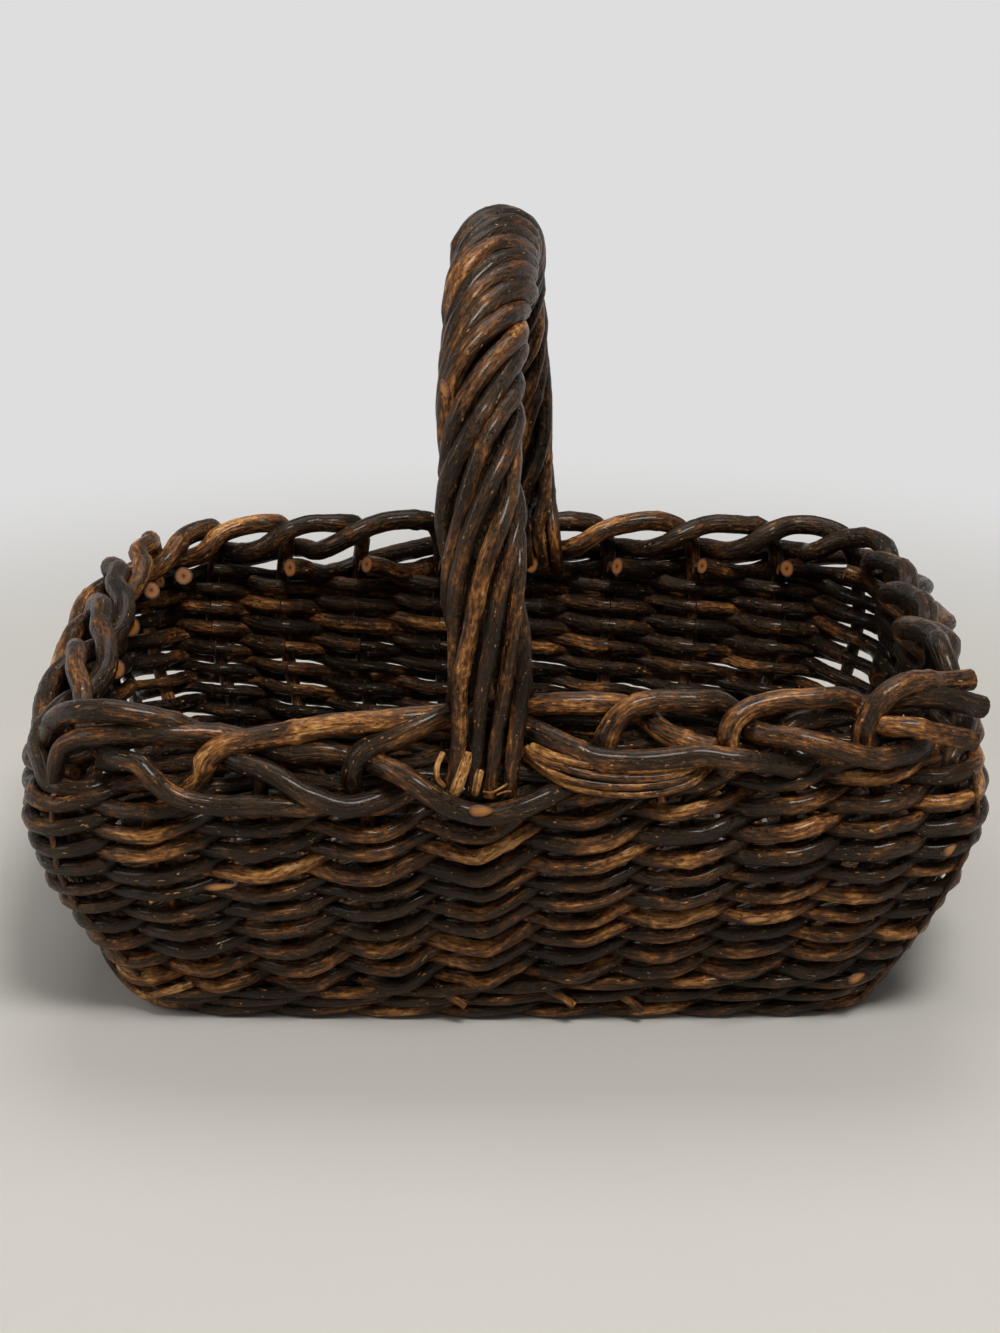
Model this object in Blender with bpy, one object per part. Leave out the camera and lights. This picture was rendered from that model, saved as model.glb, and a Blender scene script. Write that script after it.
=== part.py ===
"""A willow gathering basket: stakes, woven rounds, a rolled border, a woven base and a roped handle.

The basket stands on z = 0 with its long side along X. The front is at -Y. Every rod is its own object.
A place on the wall is a post number, a height and a distance out from the line of the stakes. Post
numbers run anticlockwise seen from above, from the front left corner, and may lie between two posts.
"""

import math

import bpy
from mathutils import Vector

MM = 0.001

# Wall: the line on which the stakes stand, measured from the middle of the basket
BASE_HALF_LENGTH = 194 * MM
BASE_HALF_WIDTH = 119 * MM
RIM_HALF_LENGTH = 225 * MM
RIM_HALF_WIDTH = 154 * MM
RIM_HEIGHT = 190 * MM
FRONT_BELLY = 18 * MM
END_BELLY = 26 * MM
SIDE_BOW = 4 * MM
FRONT_CORNER_RADIUS = 36 * MM
BACK_CORNER_RADIUS = 52 * MM

# Rods
STAKE_DIAMETER = 9 * MM
WEAVER_DIAMETER = 10 * MM
ROW_GAP = 1.6 * MM
BORDER_ROD_DIAMETER = 11.5 * MM
CLEARANCE = 0.3 * MM

# Foot and base
FOOT_HEIGHT = 15 * MM
FOOT_WIDTH = 15 * MM
BASE_STICK_DIAMETER = 7 * MM
BASE_STICK_COUNT = 4
BASE_STICK_SPACING = 46 * MM
BASE_WEAVER_DIAMETER = 9 * MM
BASE_WEAVER_PITCH = 10.6 * MM
BASE_LIFT = 0.6 * MM

# Handle
HANDLE_HEIGHT = 412 * MM
BOW_DIAMETER = 23 * MM
BOW_LEG_DIAMETER = 11 * MM
BOW_TIP_DIAMETER = 5 * MM
BOW_SHOULDER = 3.5 * MM
STRAND_DIAMETER = 10 * MM
STRAND_LEAD = 190 * MM
STRAND_LIFT = 3.4 * MM
STRAND_SLACK = 1 * MM
TAIL_DROP = 42 * MM
TAIL_BEND = 13 * MM

# Places of the posts, as shares of the way from one corner post to the next
LONG_SIDE_SHARES = (0.113, 0.232, 0.352, 0.472, 0.590, 0.703, 0.810, 0.908)
END_SHARES = (0.18, 0.39, 0.61, 0.82)
HANDLE_PLACE = 3

# How far the wall swells out at a height, both as shares, from the foot to the rim
SWELL_SHARES = ((0.0, 0.0), (0.27, 0.62), (0.46, 0.96), (0.65, 1.0), (0.83, 0.57), (1.0, 0.0))

# The border: how one stake is laid down, as post intervals along the rim, then the distance out
# from the stake line and the drop below the top of the rim, both in steps of one rod and its gap
BORDER_ROUTE_SHARES = (
    (0.00, 0.00, 2.10),
    (0.00, 0.00, 1.00),
    (0.12, -0.08, 0.28),
    (0.32, -0.42, 0.00),
    (0.75, -1.12, 0.02),
    (1.08, -1.26, 0.46),
    (1.32, -1.06, 1.12),
    (1.58, -0.15, 1.22),
    (1.82, 0.80, 1.45),
    (2.05, 1.14, 1.70),
    (2.55, 1.14, 2.25),
    (3.05, 1.14, 2.80),
    (3.34, 0.62, 3.05),
    (3.62, -0.60, 3.34),
    (3.90, -1.14, 3.50),
)

BORDER_REACH_SHARE = 1.14

# The profile of the foot, as shares of its width and height, flat underneath
FOOT_PROFILE_SHARES = (
    (0.36, 0.0), (-0.36, 0.0), (-0.5, 0.25), (-0.5, 0.72), (-0.26, 1.0), (0.26, 1.0), (0.5, 0.72), (0.5, 0.25),
)

PEAK_SHARE = 0.18
JOINT_SHARE = 0.06
JOINT_STEP = 6
STRAND_POINTS_PER_TURN = 8
NUDGE = 0.1 * MM
NUDGE_SHARE = 0.0001

BARK_COLOURS = {
    "stake_bark": (0.085, 0.042, 0.022, 1.0),
    "dark_bark": (0.055, 0.036, 0.026, 1.0),
    "brown_bark": (0.115, 0.052, 0.022, 1.0),
    "golden_bark": (0.270, 0.125, 0.038, 1.0),
    "base_willow": (0.095, 0.052, 0.028, 1.0),
    "handle_bark": (0.125, 0.062, 0.030, 1.0),
}
BARK_ROUGHNESS = 0.42


def clear_scene():
    for obj in list(bpy.data.objects):
        bpy.data.objects.remove(obj)


def bark_materials():
    made = {}
    for name, colour in BARK_COLOURS.items():
        material = bpy.data.materials.new(name)
        material.use_nodes = True
        shader = material.node_tree.nodes["Principled BSDF"]
        shader.inputs["Base Color"].default_value = colour
        shader.inputs["Roughness"].default_value = BARK_ROUGHNESS
        shader.inputs["Metallic"].default_value = 0.0
        material.diffuse_color = colour
        made[name] = material
    return made


def new_collection(name):
    collection = bpy.data.collections.new(name)
    bpy.context.scene.collection.children.link(collection)
    return collection


# Plan of the wall at the rim: four straight sides and four round corners, walked anticlockwise

def rim_pieces():
    """Each piece is a start point, a heading in radians, a length and a corner radius, 0 for a side."""
    front = 2 * (RIM_HALF_LENGTH - FRONT_CORNER_RADIUS)
    end = 2 * RIM_HALF_WIDTH - FRONT_CORNER_RADIUS - BACK_CORNER_RADIUS
    back = 2 * (RIM_HALF_LENGTH - BACK_CORNER_RADIUS)
    quarter = math.pi / 2
    walk = (
        (front, 0), (quarter * FRONT_CORNER_RADIUS, FRONT_CORNER_RADIUS),
        (end, 0), (quarter * BACK_CORNER_RADIUS, BACK_CORNER_RADIUS),
        (back, 0), (quarter * BACK_CORNER_RADIUS, BACK_CORNER_RADIUS),
        (end, 0), (quarter * FRONT_CORNER_RADIUS, FRONT_CORNER_RADIUS),
    )
    place = Vector((FRONT_CORNER_RADIUS - RIM_HALF_LENGTH, -RIM_HALF_WIDTH))
    heading = 0.0
    pieces = []
    for length, radius in walk:
        pieces.append((place.copy(), heading, length, radius))
        place = place + along_piece(heading, length, radius)
        if radius:
            heading += quarter
    return pieces


def along_piece(heading, distance, radius):
    """The way travelled from the start of a side or a corner."""
    if not radius:
        return Vector((math.cos(heading), math.sin(heading))) * distance
    turned = heading + distance / radius
    return Vector((math.sin(turned) - math.sin(heading), math.cos(heading) - math.cos(turned))) * radius


RIM_PIECES = rim_pieces()
RIM_LENGTH = sum(piece[2] for piece in RIM_PIECES)


def rim_plan(distance):
    """The point of the rim's plan that lies this far from the start of the front side."""
    distance %= RIM_LENGTH
    for start, heading, length, radius in RIM_PIECES:
        if distance <= length:
            return start + along_piece(heading, distance, radius)
        distance -= length
    return RIM_PIECES[0][0].copy()


def post_distances():
    """How far round the rim each post stands: corner posts in the middle of their corners."""
    corners = []
    walked = 0.0
    for _, _, length, radius in RIM_PIECES:
        if radius:
            corners.append(walked + length / 2)
        walked += length
    front_left = corners[3] - RIM_LENGTH
    corners = [front_left, corners[0], corners[1], corners[2], corners[3]]
    sides = (LONG_SIDE_SHARES, END_SHARES, LONG_SIDE_SHARES, END_SHARES)
    posts = []
    for side, shares in enumerate(sides):
        first, last = corners[side], corners[side + 1]
        posts.append(first)
        posts += [first + (last - first) * share for share in shares]
    return posts


POST_DISTANCES = post_distances()
POST_COUNT = len(POST_DISTANCES)
FRONT_LEG_POST = 1 + HANDLE_PLACE
BACK_LEG_POST = FRONT_LEG_POST + POST_COUNT // 2


def post_distance(post):
    """The distance round the rim of a post number, which may lie between two posts."""
    turns, within = divmod(post, POST_COUNT)
    index = int(within)
    first = POST_DISTANCES[index]
    last = POST_DISTANCES[index + 1] if index + 1 < POST_COUNT else POST_DISTANCES[0] + RIM_LENGTH
    return turns * RIM_LENGTH + first + (last - first) * (within - index)


def swell(height, belly):
    """How far the wall's belly stands out at a height, straight from one named height to the next."""
    share = height / RIM_HEIGHT
    for (low, before), (high, after) in zip(SWELL_SHARES, SWELL_SHARES[1:]):
        if share <= high:
            break
    return belly * (before + (after - before) * (share - low) / (high - low))


def half_size(base, rim, belly, height):
    """Half the wall's length or width at a height: flared from the base and bellied in between."""
    return base + (rim - base) * height / RIM_HEIGHT + swell(height, belly)


def line_point(distance, height):
    """A point of the stake line, on the wall's middle surface."""
    plan = rim_plan(distance)
    across = plan.x / RIM_HALF_LENGTH
    along = plan.y / RIM_HALF_WIDTH
    x = across * half_size(BASE_HALF_LENGTH, RIM_HALF_LENGTH, END_BELLY, height)
    y = along * half_size(BASE_HALF_WIDTH, RIM_HALF_WIDTH, FRONT_BELLY, height)
    x += SIDE_BOW * across * (1 - along * along)
    y += SIDE_BOW * along * (1 - across * across)
    return Vector((x, y, height))


def wall_point(post, height, out=0.0):
    """A point that lies out from the stake line, square to the sloping wall."""
    distance = post_distance(post)
    here = line_point(distance, height)
    ahead = line_point(distance + NUDGE, height) - line_point(distance - NUDGE, height)
    normal = Vector((ahead.y, -ahead.x, 0)).normalized()
    rise = line_point(distance, height + NUDGE) - line_point(distance, height - NUDGE)
    slope = rise.dot(normal) / (2 * NUDGE)
    return here + normal * out * math.sqrt(1 + slope * slope)


# Making rods

def rod(name, points, diameter, material, collection, diameters=None):
    """A round rod along the points. Diameters, where given, belong to the points one by one."""
    curve = bpy.data.curves.new(name, "CURVE")
    curve.dimensions = "3D"
    curve.bevel_depth = diameter / 2
    curve.bevel_resolution = 1
    curve.use_fill_caps = True
    spline = curve.splines.new("POLY")
    spline.points.add(len(points) - 1)
    for index, place in enumerate(points):
        spline.points[index].co = (*place, 1)
        spline.points[index].radius = diameters[index] / diameter if diameters else 1
    obj = bpy.data.objects.new(name, curve)
    curve.materials.append(material)
    collection.objects.link(obj)
    return obj


# Foot: the first thick rounds of the upsett, as one ring with a flat underside

def foot_wale(collection, materials):
    profile = bpy.data.curves.new("foot_profile", "CURVE")
    profile.dimensions = "2D"
    outline = profile.splines.new("POLY")
    outline.points.add(len(FOOT_PROFILE_SHARES) - 1)
    for index, (across, up) in enumerate(FOOT_PROFILE_SHARES):
        outline.points[index].co = (across * FOOT_WIDTH, up * FOOT_HEIGHT, 0, 1)
    outline.use_cyclic_u = True
    profile_object = bpy.data.objects.new("foot_profile", profile)
    profile_object.hide_render = True
    profile_object.display_type = "WIRE"
    collection.objects.link(profile_object)

    ring = bpy.data.curves.new("foot_wale", "CURVE")
    ring.dimensions = "3D"
    ring.twist_mode = "Z_UP"
    ring.bevel_mode = "OBJECT"
    ring.bevel_object = profile_object
    path = ring.splines.new("POLY")
    places = [post + half for post in range(POST_COUNT) for half in (0, 0.5)]
    path.points.add(len(places) - 1)
    for index, post in enumerate(places):
        point = line_point(post_distance(post), 0)
        path.points[index].co = (point.x, point.y, 0, 1)
    path.use_cyclic_u = True
    obj = bpy.data.objects.new("foot_wale", ring)
    ring.materials.append(materials["base_willow"])
    collection.objects.link(obj)
    return obj


# Base: sticks along the length, and one weaver that runs to and fro over and under them

def base_levels():
    """The height of the sticks' middles, and how far the weaver swings above and below it."""
    apart = BASE_STICK_DIAMETER / 2 + BASE_WEAVER_DIAMETER / 2 + CLEARANCE
    swing = apart / math.cos(math.atan2(2 * apart, BASE_STICK_SPACING)) + CLEARANCE
    return BASE_LIFT + BASE_WEAVER_DIAMETER / 2 + swing, swing


def base_sticks(collection, materials):
    level, _ = base_levels()
    for number in range(BASE_STICK_COUNT):
        y = (number - (BASE_STICK_COUNT - 1) / 2) * BASE_STICK_SPACING
        bow = SIDE_BOW * (1 - (y / BASE_HALF_WIDTH) ** 2)
        reach = BASE_HALF_LENGTH + bow - FOOT_WIDTH / 2 - CLEARANCE
        points = [Vector((-reach, y, level)), Vector((reach, y, level))]
        rod(f"base_stick_{number + 1}", points, BASE_STICK_DIAMETER, materials["stake_bark"], collection)


def base_turn(x, way):
    """How far from the middle a pass of the weaver turns, drawn in at the foot's round corners."""
    corner = BACK_CORNER_RADIUS if way > 0 else FRONT_CORNER_RADIUS
    radius = corner - FOOT_WIDTH / 2
    outer = abs(x) + BASE_WEAVER_PITCH / 2 + BASE_WEAVER_DIAMETER / 2
    into = min(max(outer - (BASE_HALF_LENGTH - corner), 0), radius)
    drawn_in = radius - math.sqrt(radius * radius - into * into)
    return BASE_HALF_WIDTH - FOOT_WIDTH / 2 - BASE_WEAVER_DIAMETER / 2 - CLEARANCE - drawn_in


def base_weaver(collection, materials):
    level, swing = base_levels()
    wall_depth = STAKE_DIAMETER / 2 + WEAVER_DIAMETER + 2 * CLEARANCE
    reach = BASE_HALF_LENGTH - wall_depth - BASE_WEAVER_DIAMETER / 2
    passes = 2 * int(reach / BASE_WEAVER_PITCH) + 1
    points = []
    for number in range(passes):
        x = (number - (passes - 1) / 2) * BASE_WEAVER_PITCH
        way = 1 if number % 2 == 0 else -1
        stops = [Vector((x, -way * (base_turn(x, -way) - BASE_WEAVER_PITCH / 4), level))]
        for stick in range(BASE_STICK_COUNT):
            y = way * (stick - (BASE_STICK_COUNT - 1) / 2) * BASE_STICK_SPACING
            over = 1 if stick % 2 == 0 else -1
            stops.append(Vector((x, y, level + over * way * swing)))
        stops.append(Vector((x, way * (base_turn(x, way) - BASE_WEAVER_PITCH / 4), level)))
        points += stops
        if number < passes - 1:
            between = x + BASE_WEAVER_PITCH / 2
            points.append(Vector((between, way * base_turn(between, way), level)))
    rod("base_weaver", points, BASE_WEAVER_DIAMETER, materials["base_willow"], collection)


# Wall: rounds that pass in front of one stake and behind the next

def post_radius(post):
    return (BOW_LEG_DIAMETER if post % POST_COUNT in (FRONT_LEG_POST, BACK_LEG_POST) else STAKE_DIAMETER) / 2


def round_heights():
    """The rounds fill the wall from the foot to the lowest rod of the border."""
    step = BORDER_ROD_DIAMETER + CLEARANCE
    lowest = RIM_HEIGHT - BORDER_ROD_DIAMETER / 2 - BORDER_ROUTE_SHARES[-1][2] * step
    top = lowest - BORDER_ROD_DIAMETER / 2 - CLEARANCE - WEAVER_DIAMETER / 2
    level, _ = base_levels()
    bottom = max(FOOT_HEIGHT, level + BASE_WEAVER_DIAMETER / 2) + CLEARANCE + WEAVER_DIAMETER / 2
    count = int((top - bottom) / (WEAVER_DIAMETER + ROW_GAP)) + 1
    return [bottom + (top - bottom) * number / (count - 1) for number in range(count)]


def weaver_rounds(collection, materials):
    tones = ("brown_bark", "dark_bark", "golden_bark", "dark_bark", "brown_bark")
    for number, height in enumerate(round_heights()):
        start = number * JOINT_STEP + (number + 1) % 2
        points = []
        for post in range(start, start + POST_COUNT + 1):
            out = post_radius(post) + CLEARANCE + WEAVER_DIAMETER / 2
            side = 1 if (post + number) % 2 == 0 else -1
            first = JOINT_SHARE if post == start else -PEAK_SHARE
            last = -JOINT_SHARE if post == start + POST_COUNT else PEAK_SHARE
            points += [wall_point(post + share, height, side * out) for share in (first, last)]
        tone = materials[tones[number % len(tones)]]
        rod(f"weaver_round_{number + 1:02d}", points, WEAVER_DIAMETER, tone, collection)


# Stakes: upright in the wall, then laid down one behind the other to make the border

def border_point(post, ahead, out_steps, drop_steps):
    step = BORDER_ROD_DIAMETER + CLEARANCE
    height = RIM_HEIGHT - BORDER_ROD_DIAMETER / 2 - drop_steps * step
    return wall_point(post + ahead, height, out_steps * step)


def upright_heights(top):
    """From just above the foot, the heights at which a stake's line turns, up to a height."""
    foot = FOOT_HEIGHT + CLEARANCE
    turns = [share * RIM_HEIGHT for share, _ in SWELL_SHARES]
    return [foot] + [height for height in turns if foot < height < top]


def stakes(collection, materials):
    heights = upright_heights(border_point(0, *BORDER_ROUTE_SHARES[0]).z)
    number = 0
    for post in range(POST_COUNT):
        if post in (FRONT_LEG_POST, BACK_LEG_POST):
            continue
        number += 1
        points = [wall_point(post, height) for height in heights]
        diameters = [STAKE_DIAMETER] * len(points)
        for ahead, out_steps, drop_steps in BORDER_ROUTE_SHARES:
            points.append(border_point(post, ahead, out_steps, drop_steps))
        diameters += [BORDER_ROD_DIAMETER] * (len(points) - len(diameters))
        tone = materials["golden_bark" if number % 5 == 2 else "stake_bark"]
        rod(f"stake_{number:02d}", points, BORDER_ROD_DIAMETER, tone, collection, diameters)


# Handle: a bow from wall to wall, and strands wound round it like a rope

def strand_ring_radius():
    """From the bow's middle to a strand's middle, with room for the flat runs between points."""
    slack = 1 / math.cos(math.pi / STRAND_POINTS_PER_TURN)
    return (BOW_DIAMETER / 2 + STRAND_DIAMETER / 2) * slack + STRAND_SLACK


def arch_frame():
    """The arch's middle, half its span as a vector, and its rise, between the tops of the two legs."""
    front = wall_point(FRONT_LEG_POST, RIM_HEIGHT)
    back = wall_point(BACK_LEG_POST, RIM_HEIGHT)
    rise = HANDLE_HEIGHT - RIM_HEIGHT - strand_ring_radius() - STRAND_DIAMETER / 2
    return (front + back) / 2, (front - back) / 2, rise


def arch_point(turn):
    """A point of the half ellipse: 0 at the front leg, half a turn at the back leg."""
    middle, half_span, rise = arch_frame()
    return middle + half_span * math.cos(turn) + Vector((0, 0, rise * math.sin(turn)))


def arch_length():
    steps = 400
    places = [arch_point(math.pi * step / steps) for step in range(steps + 1)]
    walked = [0.0]
    for before, after in zip(places, places[1:]):
        walked.append(walked[-1] + (after - before).length)
    return walked


ARCH_WALKED = arch_length()


def arch_turn(distance):
    """The angle on the half ellipse at a distance along it."""
    steps = len(ARCH_WALKED) - 1
    for index in range(steps):
        if ARCH_WALKED[index + 1] >= distance:
            part = (distance - ARCH_WALKED[index]) / (ARCH_WALKED[index + 1] - ARCH_WALKED[index])
            return math.pi * (index + part) / steps
    return math.pi


def handle_bow(collection, materials):
    arch_parts = 24
    leg = upright_heights(RIM_HEIGHT) + [RIM_HEIGHT]
    leg_diameters = [BOW_TIP_DIAMETER] + [BOW_LEG_DIAMETER] * (len(leg) - 1)
    whole = ARCH_WALKED[-1]
    shoulders = (BOW_SHOULDER, whole - BOW_SHOULDER)
    spacing = (shoulders[1] - shoulders[0]) / arch_parts
    arch = [arch_point(arch_turn(shoulders[0] + spacing * part)) for part in range(arch_parts + 1)]
    points = [wall_point(FRONT_LEG_POST, height) for height in leg]
    points += arch
    points += [wall_point(BACK_LEG_POST, height) for height in reversed(leg)]
    diameters = leg_diameters + [BOW_DIAMETER] * len(arch) + leg_diameters[::-1]
    rod("handle_bow", points, BOW_DIAMETER, materials["stake_bark"], collection, diameters)


def strand_count():
    """As many strands as lie side by side round the bow at their slant."""
    girth = 2 * math.pi * strand_ring_radius()
    _, half_span, _ = arch_frame()
    inside_lead = STRAND_LEAD * (1 - strand_ring_radius() / half_span.length)
    slant = math.atan2(girth, inside_lead)
    return int(girth * math.cos(slant) / (STRAND_DIAMETER + CLEARANCE / 2))


def strand_tail(leg_post, angle, count):
    """On the outer side of a leg a strand runs on down over the border, its end cut off there."""
    angle = (angle + math.pi) % (2 * math.pi) - math.pi
    if abs(angle) > math.pi / 2:
        return []
    aside = angle * count / (2 * math.pi) * (STRAND_DIAMETER + CLEARANCE)
    out = (BORDER_ROD_DIAMETER + CLEARANCE) * BORDER_REACH_SHARE
    out += (BORDER_ROD_DIAMETER + STRAND_DIAMETER) / 2 + CLEARANCE
    across = wall_point(leg_post + NUDGE_SHARE, RIM_HEIGHT) - wall_point(leg_post, RIM_HEIGHT)
    drops = (TAIL_BEND, TAIL_DROP)
    return [wall_point(leg_post, RIM_HEIGHT - drop, out) + across.normalized() * aside for drop in drops]


def handle_strands(collection, materials):
    """Strands that make whole turns, so that the same ones run down outside at both feet."""
    _, half_span, _ = arch_frame()
    sideways = Vector((0, 0, 1)).cross(half_span).normalized()
    first = STRAND_LIFT
    last = ARCH_WALKED[-1] - STRAND_LIFT
    turns = int((last - first) / STRAND_LEAD)
    steps = turns * STRAND_POINTS_PER_TURN
    count = strand_count()
    for number in range(count):
        begin = (number + 0.5) / count
        points = []
        for step in range(steps + 1):
            turn = arch_turn(first + (last - first) * step / steps)
            tangent = (arch_point(turn + NUDGE_SHARE) - arch_point(turn - NUDGE_SHARE)).normalized()
            outward = sideways.cross(tangent).normalized()
            angle = 2 * math.pi * (begin + turns * step / steps)
            offset = outward * math.cos(angle) + sideways * math.sin(angle)
            points.append(arch_point(turn) + offset * strand_ring_radius())
        front_tail = strand_tail(FRONT_LEG_POST, 2 * math.pi * begin, count)
        back_tail = strand_tail(BACK_LEG_POST, -2 * math.pi * (begin + turns), count)
        points = front_tail[::-1] + points + back_tail
        tone = materials["golden_bark" if number in (2, 5) else "handle_bark"]
        rod(f"handle_strand_{number + 1}", points, STRAND_DIAMETER, tone, collection)


def build():
    clear_scene()
    materials = bark_materials()
    basket = new_collection("gathering_basket")
    foot_wale(basket, materials)
    base_sticks(basket, materials)
    base_weaver(basket, materials)
    weaver_rounds(basket, materials)
    stakes(basket, materials)
    handle_bow(basket, materials)
    handle_strands(basket, materials)


build()
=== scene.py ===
# %% [markdown]
# # A gathering basket of stained willow
#
# A basket maker works with whole rods. Stout stakes stand round a woven base, thinner rods are woven
# between them to make the wall, and at the top every stake is bent over and laid behind its neighbours to
# make the border. A rope of rods wound round a bow makes the handle. This lesson draws each rod as a curve
# with the thickness of a real rod, so that every crossing, tuck and cut end is really there.

import math
import random

import bpy
import numpy as np
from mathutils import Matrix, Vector


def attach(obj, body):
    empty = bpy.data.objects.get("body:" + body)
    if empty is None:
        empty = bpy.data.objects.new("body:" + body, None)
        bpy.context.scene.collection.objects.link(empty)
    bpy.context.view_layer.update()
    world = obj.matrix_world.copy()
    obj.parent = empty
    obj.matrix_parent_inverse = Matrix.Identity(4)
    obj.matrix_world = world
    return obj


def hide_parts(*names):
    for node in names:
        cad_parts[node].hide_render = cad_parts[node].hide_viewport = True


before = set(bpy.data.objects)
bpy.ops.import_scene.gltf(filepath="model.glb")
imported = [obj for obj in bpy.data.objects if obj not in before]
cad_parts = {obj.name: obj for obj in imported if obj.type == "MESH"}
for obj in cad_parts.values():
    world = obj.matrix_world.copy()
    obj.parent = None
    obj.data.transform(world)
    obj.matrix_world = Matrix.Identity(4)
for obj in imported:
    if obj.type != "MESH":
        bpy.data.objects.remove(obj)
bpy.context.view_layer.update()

# %% [markdown]
# ## The camera
#
# The camera comes first, because everything else is judged through it. The photograph looks down on the
# basket from just above the rim at arm's length. Its place was worked out from the base's corners, the rim
# and the handle. The frame is upright, so the sensor's long side is vertical.

# %% Camera
MM = 0.001
CAMERA_PLACE = (-0.002, -1.200, 0.629)
CAMERA_PITCH = 21.8
CAMERA_LENS = 61.5
SENSOR = 36.0


def make_camera():
    """The camera that stands where the photograph was taken."""
    data = bpy.data.cameras.new("photo_camera")
    data.lens = CAMERA_LENS
    data.sensor_fit = "AUTO"
    data.sensor_width = SENSOR
    camera = bpy.data.objects.new("photo_camera", data)
    camera.location = CAMERA_PLACE
    camera.rotation_euler = (math.radians(90 - CAMERA_PITCH), 0, 0)
    bpy.context.scene.collection.objects.link(camera)
    bpy.context.scene.camera = camera


make_camera()

# %% [markdown]
# ## The line of the stakes
#
# Everything in a basket's wall is measured from its stakes. In plan they stand on a rectangle with round
# corners, tighter at the front than at the back, and its sides are a little bowed. From the foot to the rim
# the wall leans out, swells to a belly and draws in again. A place on the wall is a post number, a height
# and a distance out from the stakes. Post numbers run anticlockwise from the front left corner, and half
# numbers lie between two posts.

# %% Sizes of the wall
BASE_HALF_LENGTH, BASE_HALF_WIDTH = 189 * MM, 119 * MM
RIM_HALF_LENGTH, RIM_HALF_WIDTH = 225 * MM, 154 * MM
RIM_HEIGHT = 190 * MM
END_BELLY, FRONT_BELLY = 28 * MM, 18 * MM
SIDE_BOW = 4 * MM
FRONT_CORNER, BACK_CORNER = 36 * MM, 52 * MM
# The rim of this old basket is twisted out of level, and its back left corner sags
WARP, WARP_END, WARP_TWIST = 10 * MM, 0.35, 0.65
CORNER_SAG, SAG_CORNER, SAG_SPREAD = 6 * MM, (-1.0, 1.0), 0.16
LONG_SIDE_SHARES = (0.113, 0.232, 0.352, 0.472, 0.590, 0.703, 0.810, 0.908)
END_SHARES = (0.18, 0.39, 0.61, 0.82)
SWELL_HEIGHTS = (0.0, 0.27, 0.46, 0.65, 0.83, 1.0)
SWELL_SHARES = (0.0, 0.62, 0.96, 1.0, 0.57, 0.0)


# %% The plan of the rim, walked anticlockwise
def along_piece(heading, distance, radius):
    """The way travelled from the start of a straight side or of a round corner."""
    if not radius:
        return np.array((math.cos(heading), math.sin(heading))) * distance
    turned = heading + distance / radius
    return np.array((math.sin(turned) - math.sin(heading), math.cos(heading) - math.cos(turned))) * radius


def rim_pieces():
    """The sides and corners of the rim, each with a start point, a heading, a length and a radius."""
    quarter = math.pi / 2
    front = 2 * (RIM_HALF_LENGTH - FRONT_CORNER)
    end = 2 * RIM_HALF_WIDTH - FRONT_CORNER - BACK_CORNER
    back = 2 * (RIM_HALF_LENGTH - BACK_CORNER)
    walk = (
        (front, 0), (quarter * FRONT_CORNER, FRONT_CORNER), (end, 0), (quarter * BACK_CORNER, BACK_CORNER),
        (back, 0), (quarter * BACK_CORNER, BACK_CORNER), (end, 0), (quarter * FRONT_CORNER, FRONT_CORNER),
    )
    place, heading, pieces = np.array((FRONT_CORNER - RIM_HALF_LENGTH, -RIM_HALF_WIDTH)), 0.0, []
    for length, radius in walk:
        pieces.append((place, heading, length, radius))
        place = place + along_piece(heading, length, radius)
        heading += quarter if radius else 0
    return pieces


RIM_PIECES = rim_pieces()
RIM_LENGTH = sum(piece[2] for piece in RIM_PIECES)


def rim_plan(distance):
    """The point of the rim's plan at a distance from the start of the front side."""
    distance %= RIM_LENGTH
    for start, heading, length, radius in RIM_PIECES:
        if distance <= length:
            break
        distance -= length
    return start + along_piece(heading, distance, radius)


def post_distances():
    """How far round the rim each post stands, with the first post again at the end."""
    corners, walked = [], 0.0
    for _, _, length, radius in RIM_PIECES:
        if radius:
            corners.append(walked + length / 2)
        walked += length
    corners.insert(0, corners[-1] - RIM_LENGTH)
    posts = []
    for side, shares in enumerate((LONG_SIDE_SHARES, END_SHARES) * 2):
        first, last = corners[side], corners[side + 1]
        posts += [first + (last - first) * share for share in (0, *shares)]
    return posts + [posts[0] + RIM_LENGTH]


POSTS = post_distances()
POST_COUNT = len(POSTS) - 1
FRONT_LEG = 4
BACK_LEG = FRONT_LEG + POST_COUNT // 2
print("posts", POST_COUNT, "round the rim", round(RIM_LENGTH, 3), "m")


# %% A point on the wall
def line_point(distance, height):
    """A point on the stakes' line at a distance round the rim and a height."""
    plan = rim_plan(distance)
    share = height / RIM_HEIGHT
    swell = float(np.interp(share, SWELL_HEIGHTS, SWELL_SHARES))
    across, along = plan[0] / RIM_HALF_LENGTH, plan[1] / RIM_HALF_WIDTH
    x = across * (BASE_HALF_LENGTH + (RIM_HALF_LENGTH - BASE_HALF_LENGTH) * share + END_BELLY * swell)
    y = along * (BASE_HALF_WIDTH + (RIM_HALF_WIDTH - BASE_HALF_WIDTH) * share + FRONT_BELLY * swell)
    near_sag = math.exp(-((across - SAG_CORNER[0]) ** 2 + (along - SAG_CORNER[1]) ** 2) / SAG_SPREAD)
    warp = (WARP * across * (WARP_END - WARP_TWIST * along) - CORNER_SAG * near_sag) * max(0.0, share) ** 2
    return np.array((
        x + SIDE_BOW * across * (1 - along**2), y + SIDE_BOW * along * (1 - across**2), height + warp,
    ))


def post_distance(post):
    """How far round the rim a post number lies, also after the walk has gone once round."""
    turns, within = post // POST_COUNT, post % POST_COUNT
    return turns * RIM_LENGTH + float(np.interp(within, range(POST_COUNT + 1), POSTS))


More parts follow.
